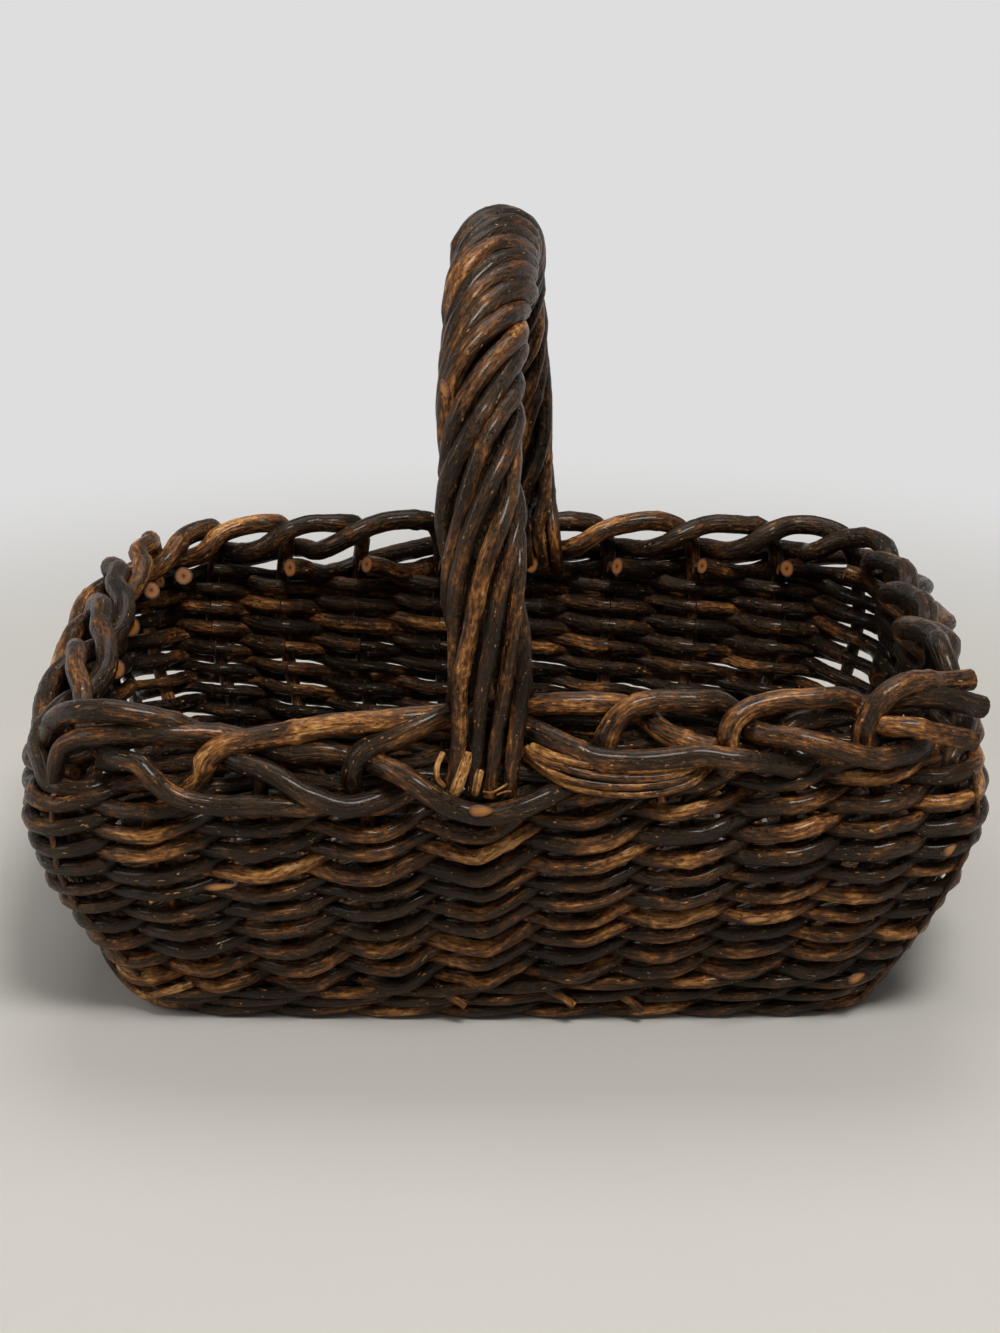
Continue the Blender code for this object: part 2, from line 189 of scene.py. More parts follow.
def wall_point(post, height, out=0.0):
    """A point that lies out from the stakes' line, level with it."""
    distance, nudge = post_distance(post), 0.2 * MM
    ahead = line_point(distance + nudge, height) - line_point(distance - nudge, height)
    normal = np.array((ahead[1], -ahead[0], 0.0))
    return line_point(distance, height) + normal / np.linalg.norm(normal) * out


# %% [markdown]
# ## Drawing a rod
#
# A willow rod is a long, tapering, slightly crooked stick. It has small swellings where leaves and side
# shoots grew, and its ends are cut square or on the slant. It could be swept as a tube in edit mode, but a
# curve with a bevel is the natural tool: its points give the path and their radii give the taper and the
# swellings. The curves are then turned into a mesh, the open ends are closed and poked, so that a cut end
# has a middle for its pith, and a Displace modifier roughens the bark.
#
# Each rod also carries its own straight coordinates along and across the wood, in metres, in an attribute.
# The bark's pattern is drawn in them, so that it follows the rod round every bend.

# %% Picking an object, and a smooth line through points
RING = 12
STEP = 2.6 * MM
FINENESS = 12


def pick(obj):
    """Makes obj the only selected object and the active one."""
    bpy.ops.object.select_all(action="DESELECT")
    obj.select_set(True)
    bpy.context.view_layer.objects.active = obj


def distances(line):
    """How far along a line each of its points lies."""
    return np.concatenate(([0], np.cumsum(np.linalg.norm(np.diff(line, axis=0), axis=1))))


def points_at(places, walked, line):
    """The points of a line at some distances along it."""
    return np.stack([np.interp(places, walked, line[:, axis]) for axis in range(3)], axis=1)


def smooth_line(points, step=STEP):
    """A smooth line through the points, cut into equal steps."""
    points = np.asarray(points, float)
    knots = distances(points)
    slopes = np.gradient(points, knots, axis=0, edge_order=1)
    fine = np.linspace(0, knots[-1], FINENESS * len(points))
    index = np.clip(np.searchsorted(knots, fine, side="right") - 1, 0, len(points) - 2)
    width = (knots[index + 1] - knots[index])[:, None]
    t = (fine[:, None] - knots[index][:, None]) / width
    line = ((2 * t**3 - 3 * t**2 + 1) * points[index] + (t**3 - 2 * t**2 + t) * width * slopes[index]
            + (3 * t**2 - 2 * t**3) * points[index + 1] + (t**3 - t**2) * width * slopes[index + 1])
    walked = distances(line)
    even = np.linspace(0, walked[-1], max(4, round(walked[-1] / step) + 1))
    return points_at(even, walked, line)


# %% One rod, with its taper and its nodes
NODE_SPACING = (26 * MM, 62 * MM)
NODE_WIDTH = 2.4 * MM
NODE_SIZES = (0.3, 1.4)
NODE_SWELL = 0.10
# Where each kind of rod starts in the bark's pattern, in metres, so that hardly any two rods look alike
ROD_LENGTH = 3.0
STAKE_GRAIN, WALE_GRAIN, STRAND_GRAIN, BOW_GRAIN = 200, 400, 500, 600
STICK_GRAIN, BASE_GRAIN, THIN_GRAIN = 700, 720, (800, 900)


def rod(line, diameters, tone, start, label, wear=(0.5,)):
    """A rod along a line. Its diameters and its wear are given at even shares of its length."""
    rng = random.Random(label)
    along = distances(line)
    share = along / along[-1]
    radii = np.interp(share, np.linspace(0, 1, len(diameters)), diameters) / 2
    knots, place = np.zeros(len(line)), rng.uniform(0, NODE_SPACING[1])
    while place < along[-1]:
        knots += rng.uniform(*NODE_SIZES) * np.exp(-(((along - place) / NODE_WIDTH) ** 2))
        place += rng.uniform(*NODE_SPACING)
    return {
        "points": line, "radii": radii * (1 + NODE_SWELL * knots), "knots": knots, "tone": tone,
        "along": start + along, "wear": np.interp(share, np.linspace(0, 1, len(wear)), wear),
    }


# %% From rods to one mesh piece
def curve_of_rods(name, rods):
    """A curve object with one spline for each rod. A rod is a dict with points and radii."""
    curve = bpy.data.curves.new(name, "CURVE")
    curve.dimensions = "3D"
    curve.bevel_depth = 1.0
    curve.bevel_resolution = RING // 2 - 2
    for piece in rods:
        points = piece["points"]
        spline = curve.splines.new("POLY")
        spline.points.add(len(points) - 1)
        spline.points.foreach_set("co", np.c_[points, np.ones(len(points))].ravel())
        spline.points.foreach_set("radius", np.asarray(piece["radii"], np.float32))
    obj = bpy.data.objects.new(name, curve)
    bpy.context.scene.collection.objects.link(obj)
    return obj


def write_grain(mesh, rods):
    """Gives each vertex its rod's tone, wear and nodes, and its place in the straight rod."""
    angle = np.arange(RING) * 2 * math.pi / RING
    layers = {"grain": [], "tone": [], "wear": [], "knots": []}
    for piece in rods:
        radii = piece["radii"][:, None]
        along = np.repeat(piece["along"][:, None], RING, axis=1)
        across = radii * np.cos(angle), radii * np.sin(angle)
        layers["grain"].append(np.stack([along, *across], axis=2).reshape(-1, 3))
        layers["tone"].append(np.full(radii.size * RING, piece["tone"]))
        layers["wear"].append(np.repeat(piece["wear"], RING))
        layers["knots"].append(np.repeat(piece["knots"], RING))
    for label, values in layers.items():
        kind, field = ("FLOAT_VECTOR", "vector") if label == "grain" else ("FLOAT", "value")
        layer = mesh.attributes.new(label, kind, "POINT")
        layer.data.foreach_set(field, np.concatenate(values).astype(np.float32).ravel())


def close_ends(obj):
    """Fills each open end with a face of the second material, poked so that it has a middle."""
    pick(obj)
    bpy.ops.object.mode_set(mode="EDIT")
    bpy.ops.mesh.select_mode(type="EDGE")
    bpy.ops.mesh.select_all(action="DESELECT")
    bpy.ops.mesh.select_non_manifold()
    bpy.ops.mesh.fill_holes(sides=0)
    bpy.ops.mesh.select_mode(type="FACE")
    bpy.ops.object.mode_set(mode="OBJECT")
    mesh = obj.data
    sides = np.zeros(len(mesh.polygons), np.int32)
    mesh.polygons.foreach_get("loop_total", sides)
    is_end = sides > 4
    mesh.polygons.foreach_set("select", is_end)
    mesh.polygons.foreach_set("material_index", is_end.astype(np.int32))
    pith = mesh.attributes.new("pith", "FLOAT", "POINT")
    before = len(mesh.vertices)
    bpy.ops.object.mode_set(mode="EDIT")
    bpy.ops.mesh.poke()
    bpy.ops.mesh.select_all(action="SELECT")
    bpy.ops.mesh.normals_make_consistent(inside=False)
    bpy.ops.object.mode_set(mode="OBJECT")
    middle = np.zeros(len(mesh.vertices), np.float32)
    middle[before:] = 1
    mesh.attributes["pith"].data.foreach_set("value", middle)


LUMP_SIZE = 9 * MM
SMOOTH_ANGLE = 50
ROUGH_BARK, FINE_BARK, SMOOTH_BARK = 0.9 * MM, 0.5 * MM, 0.4 * MM

bark_lumps = bpy.data.textures.new("bark_lumps", "CLOUDS")
bark_lumps.noise_scale = LUMP_SIZE
bark_lumps.noise_depth = 2


def roughen(obj, strength):
    """Displaces the bark by a soft noise, as a modifier that is then applied."""
    modifier = obj.modifiers.new("bark", "DISPLACE")
    modifier.texture = bark_lumps
    modifier.texture_coords = "LOCAL"
    modifier.mid_level = 0.5
    modifier.strength = strength
    bpy.ops.object.modifier_apply(modifier=modifier.name)
    bpy.ops.object.shade_smooth_by_angle(angle=math.radians(SMOOTH_ANGLE))


def make_rods(name, rods, replaced=(), roughness=ROUGH_BARK):
    """One piece from several rods: it rides on the basket and may stand for CAD nodes."""
    obj = curve_of_rods(name, rods)
    pick(obj)
    bpy.ops.object.convert(target="MESH")
    mesh = obj.data
    mesh.name = name
    write_grain(mesh, rods)
    mesh.materials.append(bark)
    mesh.materials.append(cut_wood)
    close_ends(obj)
    roughen(obj, roughness)
    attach(obj, "root")
    if replaced:
        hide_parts(*replaced)
    return obj


# %% [markdown]
# ## Willow bark and cut ends
#
# The rods are white and brown willow, woven with the bark on and then stained dark and varnished. The stain
# is uneven. It lies nearly black in the hollows, red-brown on most rods and thin and golden where hands and
# baskets rubbed it off. Under it the bark has fine cracks along the rod and pale dots across it, through
# which it breathed. An image of bark would repeat and stretch round bends. Noise in the rod's own
# coordinates doesn't, and its scales can be read off a real rod in millimetres.

# %% Colour and node helpers
def linear(code):
    """An sRGB hex colour as linear RGBA."""
    parts = [int(code[i:i + 2], 16) / 255 for i in (1, 3, 5)]
    return (*[c / 12.92 if c <= 0.04045 else ((c + 0.055) / 1.055) ** 2.4 for c in parts], 1.0)


def add(tree, kind, settings=None, **links):
    """Adds a node. Settings are its properties; links are its inputs, as values or as sockets."""
    node = tree.nodes.new(kind)
    for key, value in (settings or {}).items():
        setattr(node, key, value)
    for key, value in links.items():
        name = key.replace("_", " ")
        socket = node.inputs[int(key[1:])] if key[1:].isdigit() else node.inputs[name]
        if isinstance(value, bpy.types.NodeSocket):
            tree.links.new(value, socket)
        else:
            socket.default_value = value
    return node


def new_material(name):
    """An empty node material."""
    material = bpy.data.materials.new(name)
    material.use_nodes = True
    material.node_tree.nodes.clear()
    return material, material.node_tree


def ramp(tree, factor, stops):
    """A colour ramp with stops of place and sRGB hex colour."""
    node = add(tree, "ShaderNodeValToRGB", Fac=factor)
    node.color_ramp.interpolation = "EASE"
    while len(node.color_ramp.elements) < len(stops):
        node.color_ramp.elements.new(0.5)
    for element, (place, code) in zip(node.color_ramp.elements, stops):
        element.position = place
        element.color = linear(code)
    return node.outputs["Color"]


# %% Stained willow bark
STAIN_STOPS = (
    (0.00, "#070504"), (0.20, "#110b08"), (0.38, "#20150e"), (0.52, "#382314"), (0.66, "#5e3a1d"),
    (0.82, "#8f5f30"), (1.00, "#bf9158"),
)
# How long each pattern is along the rod, how wide across it, and how finely its noise is broken up
PATCHES, STREAKS = (30 * MM, 8 * MM, 3.0), (16 * MM, 1.3 * MM, 4.0)
FLAKES, CHIPS = (4.0 * MM, 1.7 * MM, 5.0), (3.4 * MM, 1.5 * MM, 1.0)
PORE_LENGTH, PORE_WIDTH = 4.2 * MM, 2.4 * MM
BARE_WOOD = "#b48652"
VARNISH_TINT = "#efcfa8"
BARK_RELIEF = 1.1 * MM


def make_bark():
    """Varnished, stained bark: patchy and streaked along the rod, with pores, chips and a broken gloss."""
    material, tree = new_material("stained_willow_bark")
    tone, wear, knots = (add(tree, "ShaderNodeAttribute", {"attribute_name": name}).outputs["Fac"]
                         for name in ("tone", "wear", "knots"))
    grain = add(tree, "ShaderNodeAttribute", {"attribute_name": "grain"}).outputs["Vector"]

    def noise(length, width, detail):
        """Noise stretched along the rod."""
        place = add(tree, "ShaderNodeMapping", Vector=grain, Scale=(1 / length, 1 / width, 1 / width))
        node = add(tree, "ShaderNodeTexNoise", Vector=place.outputs["Vector"], Scale=1.0, Detail=detail)
        return node.outputs["Fac"]

    def layered(total, *layers):
        """Adds layers to a value, each as a share of how far the layer is from its middle."""
        for layer, share, middle in layers:
            part = add(tree, "ShaderNodeMath", {"operation": "MULTIPLY_ADD"},
                       _0=layer, _1=share, _2=-share * middle)
            added = add(tree, "ShaderNodeMath", {"operation": "ADD"}, _0=total, _1=part.outputs["Value"])
            total = added.outputs["Value"]
        return total

    patches, streaks, flakes = noise(*PATCHES), noise(*STREAKS), noise(*FLAKES)
    # Only the peaks of the chips' noise are chips, and only the middles of the pores' cells are pores
    chips = add(tree, "ShaderNodeMapRange", Value=noise(*CHIPS),
                From_Min=0.70, From_Max=0.76).outputs["Result"]
    pore_scale = (1 / PORE_LENGTH, 1 / PORE_WIDTH, 1 / PORE_WIDTH)
    pore_place = add(tree, "ShaderNodeMapping", Vector=grain, Scale=pore_scale).outputs["Vector"]
    cells = add(tree, "ShaderNodeTexVoronoi", Vector=pore_place, Scale=1.0).outputs["Distance"]
    pores = add(tree, "ShaderNodeMapRange", Value=cells, From_Min=0.20, From_Max=0.10).outputs["Result"]

    # The stain thins where this grows: on patches and streaks, on the crowns that hands rub, and at nodes
    depth = layered(tone, (patches, 1.5, 0.5), (streaks, 0.6, 0.5), (flakes, 0.9, 0.5), (wear, 0.16, 0.0),
                    (knots, 0.10, 0.0), (pores, -0.16, 0.0))
    stain = ramp(tree, add(tree, "ShaderNodeClamp", Value=depth).outputs["Result"], STAIN_STOPS)
    colour = add(tree, "ShaderNodeMix", {"data_type": "RGBA"}, _0=chips, _6=stain, _7=linear(BARE_WOOD))
    relief = layered(streaks, (flakes, 1.6, 0.0), (pores, 0.5, 0.0), (chips, -0.6, 0.0))
    bump = add(tree, "ShaderNodeBump", Height=relief, Strength=1.0, Distance=BARK_RELIEF)
    # The varnish has sunk into the bark unevenly, so its gloss is broken, and a thin warm coat lies over it
    gloss = add(tree, "ShaderNodeMapRange", Value=flakes, From_Min=0.35, From_Max=0.65,
                To_Min=0.28, To_Max=0.56)
    shader = add(tree, "ShaderNodeBsdfPrincipled", Base_Color=colour.outputs[2],
                 Normal=bump.outputs["Normal"], Roughness=gloss.outputs["Result"], IOR=1.47,
                 Specular_IOR_Level=0.36, Specular_Tint=linear(VARNISH_TINT), Coat_Weight=0.18,
                 Coat_Roughness=0.17, Coat_Tint=linear(VARNISH_TINT))
    add(tree, "ShaderNodeOutputMaterial", Surface=shader.outputs["BSDF"])
    return material


# %% Cut willow
END_STOPS = (
    (0.00, "#2a170d"), (0.14, "#6a3e18"), (0.34, "#9c5f22"), (0.74, "#8c511b"), (0.84, "#3a2010"),
    (1.00, "#22130b"),
)
KNOT_STOPS = ((0.00, "#ad7434"), (0.35, "#96602a"), (0.65, "#633a19"), (1.00, "#2b180d"))
FIBRE_RELIEF = 0.3 * MM


def make_cut(name, layer, fibres_a_metre, unevenness, stops, relief, roughness):
    """Cut willow: coloured by a painted layer, from its middle to the stained bark, with fine fibres."""
    material, tree = new_material(name)
    painted = add(tree, "ShaderNodeAttribute", {"attribute_name": layer}).outputs["Fac"]
    place = add(tree, "ShaderNodeTexCoord").outputs["Object"]
    stretched = add(tree, "ShaderNodeMapping", Vector=place, Scale=fibres_a_metre).outputs["Vector"]
    fibres = add(tree, "ShaderNodeTexNoise", Vector=stretched, Scale=1.0, Detail=3.0).outputs["Fac"]
    uneven = add(tree, "ShaderNodeMath", {"operation": "MULTIPLY_ADD"},
                 _0=fibres, _1=unevenness, _2=-unevenness / 2)
    where = add(tree, "ShaderNodeMath", {"operation": "ADD", "use_clamp": True},
                _0=painted, _1=uneven.outputs["Value"])
    colour = ramp(tree, where.outputs["Value"], stops)
    bump = add(tree, "ShaderNodeBump", Height=fibres, Strength=relief, Distance=FIBRE_RELIEF)
    shader = add(tree, "ShaderNodeBsdfPrincipled", Base_Color=colour, Roughness=roughness,
                 Normal=bump.outputs["Normal"])
    add(tree, "ShaderNodeOutputMaterial", Surface=shader.outputs["BSDF"])
    return material


bark = make_bark()
cut_wood = make_cut("cut_willow_end", "pith", (900, 900, 900), 0.22, END_STOPS, 0.3, 0.62)

# %% [markdown]
# ## The randed wall
#
# The wall is woven by randing. Each rod goes in front of one stake and behind the next, and there are as
# many rods as stakes, each started one stake further on. So every stake has a rod in front of it in every
# row. A rod comes out from under its neighbour's tail, passes over the stake and dives over the next rod's
# start.
#
# How it climbs on its way differs round this basket. Along the back it runs nearly level and rises at the
# end, under the handle it sags and rises steeply, at the right it climbs evenly, and at the left it does
# something between. So three ways were drawn, and each place mixes them. One row is modelled as one
# piece, and a rod that climbs from row to row keeps its own colour and taper all the way.

# %% Sizes of the rows
STAKE = 8.5 * MM
ROW_COUNT = 10
SET_ROWS = 6
WEAVER_BUTT, WEAVER_TIP = 9.8 * MM, 7.0 * MM
WEAVER_SWING = 9.4 * MM
STROKE_LENGTH = 0.11
STROKE_POINTS = 31
STOUT_RANGE = (0.88, 1.08)
TUCK_PHASE = 0.02
# Each way is a list of places between the post before, at -1, and the next post, at 1, with heights in rows
LEVEL_WAY = (
    (-1.00, -0.45), (-0.75, -0.42), (-0.50, -0.35), (-0.25, -0.37), (0.00, -0.40), (0.20, -0.30),
    (0.38, -0.12), (0.50, 0.04), (0.75, 0.38), (1.00, 0.55),
)
STEEP_WAY = (
    (-1.00, -0.45), (-0.75, -0.36), (-0.50, -0.18), (-0.36, -0.24), (-0.20, -0.34), (-0.04, -0.42),
    (0.08, -0.40), (0.20, -0.24), (0.32, 0.00), (0.42, 0.22), (0.50, 0.36), (0.75, 0.50), (1.00, 0.55),
)
CLIMBING_WAY = ((-1.0, -0.83), (0.0, -0.34), (1.0, 0.17))

# %% [markdown]
# The weave isn't the same all round, so these values are given at posts and drawn out between them. The
# rows lie closest under the handle and start highest to the right of it. The rods are stouter at the back,
# where they are drawn thinner inside the wall, so that it stays closed without bulging.

# %% Values that change round the wall
ROW_POSTS = (0, 1, 2, 3, 4, 5, 6, 7, 8, 9, 14, 15, 22, 23, 28)
FIRST_ROWS = (27, 27, 28, 29, 33, 38, 39, 40, 38, 35, 32, 30, 30, 29, 27)
ROW_PITCHES = (13.4, 13.5, 13.5, 13.2, 12.4, 12.5, 12.9, 12.9, 13.2, 13.2, 13.2, 13.2, 13.2, 13.3, 13.4)
STEEPNESS = (0.20, 0.20, 0.40, 0.70, 1.25, 0.85, 0.40, 0.25, 0.20, 0.20, 0.30, 0.15, 0.15, 0.30, 0.20)
CLIMBING = (0.50, 0.50, 0.45, 0.30, 0.05, 0.35, 0.75, 0.90, 0.90, 0.80, 0.30, 0.00, 0.00, 0.40, 0.50)
STOUTNESS = (1.00, 1.00, 1.00, 0.99, 0.97, 1.00, 1.04, 1.06, 1.06, 1.04, 1.04, 1.16, 1.16, 1.04, 1.00)
INSIDE_THINNER = (0, 0, 0, 0, 0, 0, 0, 0, 0, 0, 0.05, 0.10, 0.10, 0.05, 0)
# The back wall's rods are stained paler: painted light against the shade inside the basket
BACK_POSTS, BACK_PAINTED_LIGHT = range(15, 23), 0.06


def at_post(post, values):
    """One of the tables above, read at any place round the wall."""
    return float(np.interp(post % POST_COUNT, ROW_POSTS, values))


def row_height(row, post):
    """How high a row runs at a post, before the rods' own climb."""
    return (at_post(post, FIRST_ROWS) + row * at_post(post, ROW_PITCHES)) * MM


# %% One stroke of a weaver
STAIN_TONES = ((0.52, (0.16, 0.30)), (0.90, (0.32, 0.44)), (1.00, (0.48, 0.60)))
STROKE_LIFT, STROKE_REACH = (-1.0, 1.0), (-0.6, 1.2)
STROKE_STEEPNESS, STROKE_LEAN = (0.75, 1.2), (-0.09, 0.07)
HEIGHT_WOBBLE, OUT_WOBBLE = 0.5 * MM, 0.35 * MM
WOBBLE_PACES, QUICK_SHARE = (0.9, 2.3), 0.6


def pick_tone(rng):
    """How deep a rod's stain is: most rods are dark, some brown and a few golden."""
    kind = rng.random()
    tones = next(tones for limit, tones in STAIN_TONES if kind < limit)
    return rng.uniform(*tones)


def rise(t, post, steepness):
    """A rod's height in rows on its way over a post, from the three ways mixed for that place."""
    ways = (LEVEL_WAY, STEEP_WAY, CLIMBING_WAY)
    level, steep, climbing = (float(np.interp(t, *zip(*way))) for way in ways)
    gentle = level + (steep - level) * steepness * at_post(post, STEEPNESS)
    return gentle + (climbing - gentle) * at_post(post, CLIMBING)


def wobble(starts, t, size):
    """A smooth crookedness along a rod, as two waves that don't repeat together."""
    slow, quick = (math.sin(2 * math.pi * (pace * t + start)) for pace, start in zip(WOBBLE_PACES, starts))
    return size * (slow + QUICK_SHARE * quick)


def stroke(row, post):
    """One stroke of a weaver: from behind the post before, over this post, to behind the next."""
    rng = random.Random(f"stroke {row} {post}")
    lift, reach = rng.uniform(*STROKE_LIFT) * MM, rng.uniform(*STROKE_REACH) * MM
    steep, lean = rng.uniform(*STROKE_STEEPNESS), rng.uniform(*STROKE_LEAN)
    waves = (rng.random(), rng.random()), (rng.random(), rng.random())
    points, wear = [], []
    for t in np.linspace(-1, 1, STROKE_POINTS):
        fade = math.cos(math.pi * t / 2) ** 2
        climb = rise(t + lean * fade, post + t, steep)
        height = row_height(row + climb, post + t) + (lift + wobble(waves[0], t, HEIGHT_WOBBLE)) * fade
        front = math.cos(math.pi * (t - TUCK_PHASE))
        out = WEAVER_SWING * front + (reach * front + wobble(waves[1], t, OUT_WOBBLE)) * fade
        points.append(wall_point(post + t, height, out))
        wear.append(max(0.0, front))
    return np.array(points), wear


# %% The rows of the wall
def weaver_row(row):
    """All the strokes of one row, each part of its own climbing rod."""
    rods = []
    row_set, step = divmod(row, SET_ROWS)
    done = step / SET_ROWS
    for post in range(POST_COUNT):
        number = (post - 2 * row) % POST_COUNT + POST_COUNT * row_set
        rng = random.Random(f"weaver {number}")
        tone, stout = pick_tone(rng), rng.uniform(*STOUT_RANGE)
        # Painted light: the back wall's rods are paler against the shade inside the basket
        tone += BACK_PAINTED_LIGHT if post in BACK_POSTS else 0.0
        stout *= at_post(post, STOUTNESS)
        butt, tip = (stout * (WEAVER_BUTT + (WEAVER_TIP - WEAVER_BUTT) * share)
                     for share in (done, done + 1 / SET_ROWS))
        before, after = (1 - at_post(post + side, INSIDE_THINNER) for side in (-1, 1))
        diameters = (butt * before, butt * before, (butt + tip) / 2, tip * after, tip * after)
        points, wear = stroke(row, post)
        start = number * ROD_LENGTH + step * STROKE_LENGTH
        rods.append(rod(smooth_line(points), diameters, tone, start, f"nodes {row} {post}", wear))
    return rods


for row in range(ROW_COUNT):
    made = make_rods(f"randed_row_{row + 1:02d}", weaver_row(row),
                     (f"weaver_round_{row + 1:02d}",))
print("randed rows", ROW_COUNT, "faces in a row", len(made.data.polygons))

# %% [markdown]
# ## Stakes and border
#
# The stakes are the stoutest rods. Each one stands in the wall, and at the rim it is bent to the right, laid
# along the top behind the next stake, brought out under its neighbour, run slantwise down the outside and
# tucked back into the wall, where its end is cut. The route below is that of every stake, in post intervals
# along the rim, then rods out from the stakes' line and rods down from the top.

# %% The way of a stake through the border
BORDER_ROD = 12 * MM
BORDER_STEP = 11.8 * MM
BORDER_TOP = RIM_HEIGHT - 5.75 * MM

BORDER_ROUTE = (
    (0, 0, 2.6), (0, 0.15, 1.1), (0.1, 0.2, 0.35), (0.33, 0.05, 0), (0.75, -0.25, 0.02),
    (1.02, -0.8, 0.28), (1.35, -1.1, 0.95), (1.58, -0.5, 1.45), (1.78, 0.4, 1.65), (2.02, 1.15, 1.85),
    (2.3, 1.3, 2.15), (2.65, 1.25, 2.5), (3, 1.15, 2.9), (3.3, 0.55, 3.05), (3.55, -0.45, 2.75),
    (3.75, -1.15, 2.25), (3.9, -1.6, 1.95),
)

# %% [markdown]
# On the front of the basket, hands and years have pulled the border out of its regular order, and there each
# stake has a way of its own. Some lean along the rim before they bend, one crosses in front of the handle's
# foot, and three end in plain sight with a square cut.

# %% Stakes with a way of their own
OWN_ROUTES = {
    26: (*BORDER_ROUTE[:6], (1.4, -1.25, 0.9), (1.9, -1.3, 1.2), (2.25, -0.9, 1.15),
        (2.45, -0.1, 1.05), (2.62, 0.7, 1), (2.84, 1.15, 1.05), (3.02, 1.4, 1.7), (3.25, 1.5, 2.42),
        (3.56, 1.5, 2.84), (4.08, 1.45, 2.92), (4.5, 1.2, 3.15), (4.8, 0.35, 3.3), (5.05, -0.8, 3.3)),
    27: ((0, 0, 2.6), (0.4, 0, 2), (0.58, 0.02, 1.2), (0.68, 0.12, 0.4), (0.84, 0.17, -0.22),
        (1.1, 0.12, -0.8), (1.42, 0.02, -1.05), (1.75, -0.05, -0.75), (2.02, -0.2, -0.3),
        (2.25, -0.5, 0.25), (2.47, -0.6, 0.8), (2.7, 0.3, 1.25), (3.07, 1.05, 1.6), (3.48, 1.5, 2.52),
        (3.83, 1.5, 3.08), (4.14, 0.85, 2.95), (4.45, -0.5, 2.85)),
    0: ((0, 0, 3.6), (0.01, 0.3, 2.6), (0.02, 0.5, 1.7), (0.03, 0.45, 1), (0.12, 0.25, 0.55),
        (0.45, 0, 0.2), (0.99, 0, 0.14), (1.35, -0.3, 0.35), (1.64, -0.6, 0.65), (1.9, -0.4, 0.95),
        (2.23, 0, 1.15), (2.57, 0, 1.2), (2.82, -0.1, 1.5), (3, 0.3, 1.55), (3.12, 0.9, 1.48),
        (3.3, 1.55, 1.65), (3.56, 1.95, 2.3), (3.83, 2, 3.06), (4.1, 2, 3.3), (4.37, 1.8, 3.12),
        (4.66, 1.3, 2.8), (4.88, 0.45, 2.65), (5.08, -0.6, 2.55)),
    1: ((0, 0, 4.4), (0.22, 0.2, 3), (0.44, 0.45, 1.9), (0.49, 0.5, 1.05), (0.6, 0.4, 0.68),
        (0.82, 0.2, 0.5), (1.24, 0.05, 0.28), (1.6, 0, 0.02), (2, 0, -0.08), (2.4, -0.2, -0.1),
        (2.67, -0.5, 0), (3, -1.2, 0.25), (3.3, -1.1, 0.05), (3.55, -0.45, -0.38), (4.1, -0.3, -0.4),
        (4.4, -0.5, -0.2), (4.6, -0.6, 0.3), (4.8, 0.3, 0.7), (5.1, 0.85, 1.05), (5.27, 1.1, 1.15)),
    2: ((0, 0, 2.6), (0, -0.2, 1.6), (0.15, -0.55, 1), (0.5, -1.1, 0.85), (1, -1.2, 0.95),
        (1.5, -1.15, 0.9), (2, -1.45, 0.9), (2.35, -1.1, 0.6), (2.6, -0.85, 0.42), (3.05, -0.65, 0.36),
        (3.2, -0.55, 0.42)),
    3: ((0, 0, 4.4), (-0.12, 0.3, 3), (-0.16, 0.45, 1.9), (-0.12, 0.5, 1.25), (0, 0.45, 0.9),
        (0.16, 0.4, 0.62), (0.4, 0.1, 0.18), (0.67, -0.45, -0.05), (1, -1.05, 0.4), (1.3, -0.7, 0.55),
        (1.52, 0.2, 0.45), (1.78, 0.9, 0.78), (2.07, 1.3, 1.22), (2.37, 1.4, 1.36), (2.8, 1.4, 1.38),
        (3.1, 1.3, 1.28), (3.42, 1.4, 1.45), (3.8, 1.2, 1.75), (4.1, 0.7, 2.15), (4.4, -0.5, 2.35)),
    5: ((0, 0, 3.8), (0.13, 0.2, 2.5), (0.17, 0.5, 1.3), (0.27, 0.5, 0.3), (0.44, 0.25, -0.3),
        (0.69, 0, -0.5), (1.15, 0, -0.42), (1.4, -0.4, -0.18), (1.56, -0.55, 0.35), (1.68, 0.1, 0.78),
        (1.85, 0.75, 0.82), (2.06, 1.15, 0.76), (2.39, 1.45, 1), (2.74, 1.5, 1.42), (3, 1.45, 1.66),
        (3.28, 1, 1.72), (3.55, 0.2, 1.9), (3.8, -0.7, 2.1)),
    6: ((0, 0, 3.8), (0.28, 0.2, 2.8), (0.42, 0.45, 1.8), (0.43, 0.5, 1.05), (0.5, 0.5, 0.32),
        (0.68, 0.2, -0.04), (0.98, 0, -0.22), (1.47, 0, -0.3), (1.78, -0.3, -0.15), (1.96, -0.5, 0.25),
        (2.08, 0.3, 0.6), (2.22, 0.85, 0.6), (2.4, 1.1, 0.58), (2.66, 1.4, 0.92), (2.95, 1.75, 1.42)),
    7: ((0, 0, 2.6), (0, -0.1, 1.6), (0.12, -0.45, 1.05), (0.45, -0.7, 0.75), (0.85, -0.75, 0.65),
        (1.15, -0.75, 0.35), (1.4, -0.5, 0), (1.88, -0.05, 0.1), (2.12, 0.55, 0.35), (2.3, 1.2, 0.85)),
    8: ((0, 0, 3), (-0.04, 0.25, 1.9), (-0.07, 0.5, 1.06), (0.04, 0.5, 0.35), (0.26, 0.25, -0.32),
        (0.5, 0, -0.62), (0.95, -0.3, -0.4), (1.2, -0.2, -0.1), (1.42, 0.85, 0)),
    9: ((0, 0, 3), (0.4, 0.1, 2), (0.68, 0.1, 1), (0.78, 0.1, 0.2), (0.92, 0, -0.35), (1.25, 0, -0.45),
        (1.7, -0.5, -0.25), (2.1, -1, 0.4), (2.45, -0.8, 1.2), (2.75, 0.3, 1.7), (3, 1.15, 1.9),
        (3.35, 1.25, 2.4), (3.75, 0.6, 2.8), (4.05, -0.6, 2.9)),
}
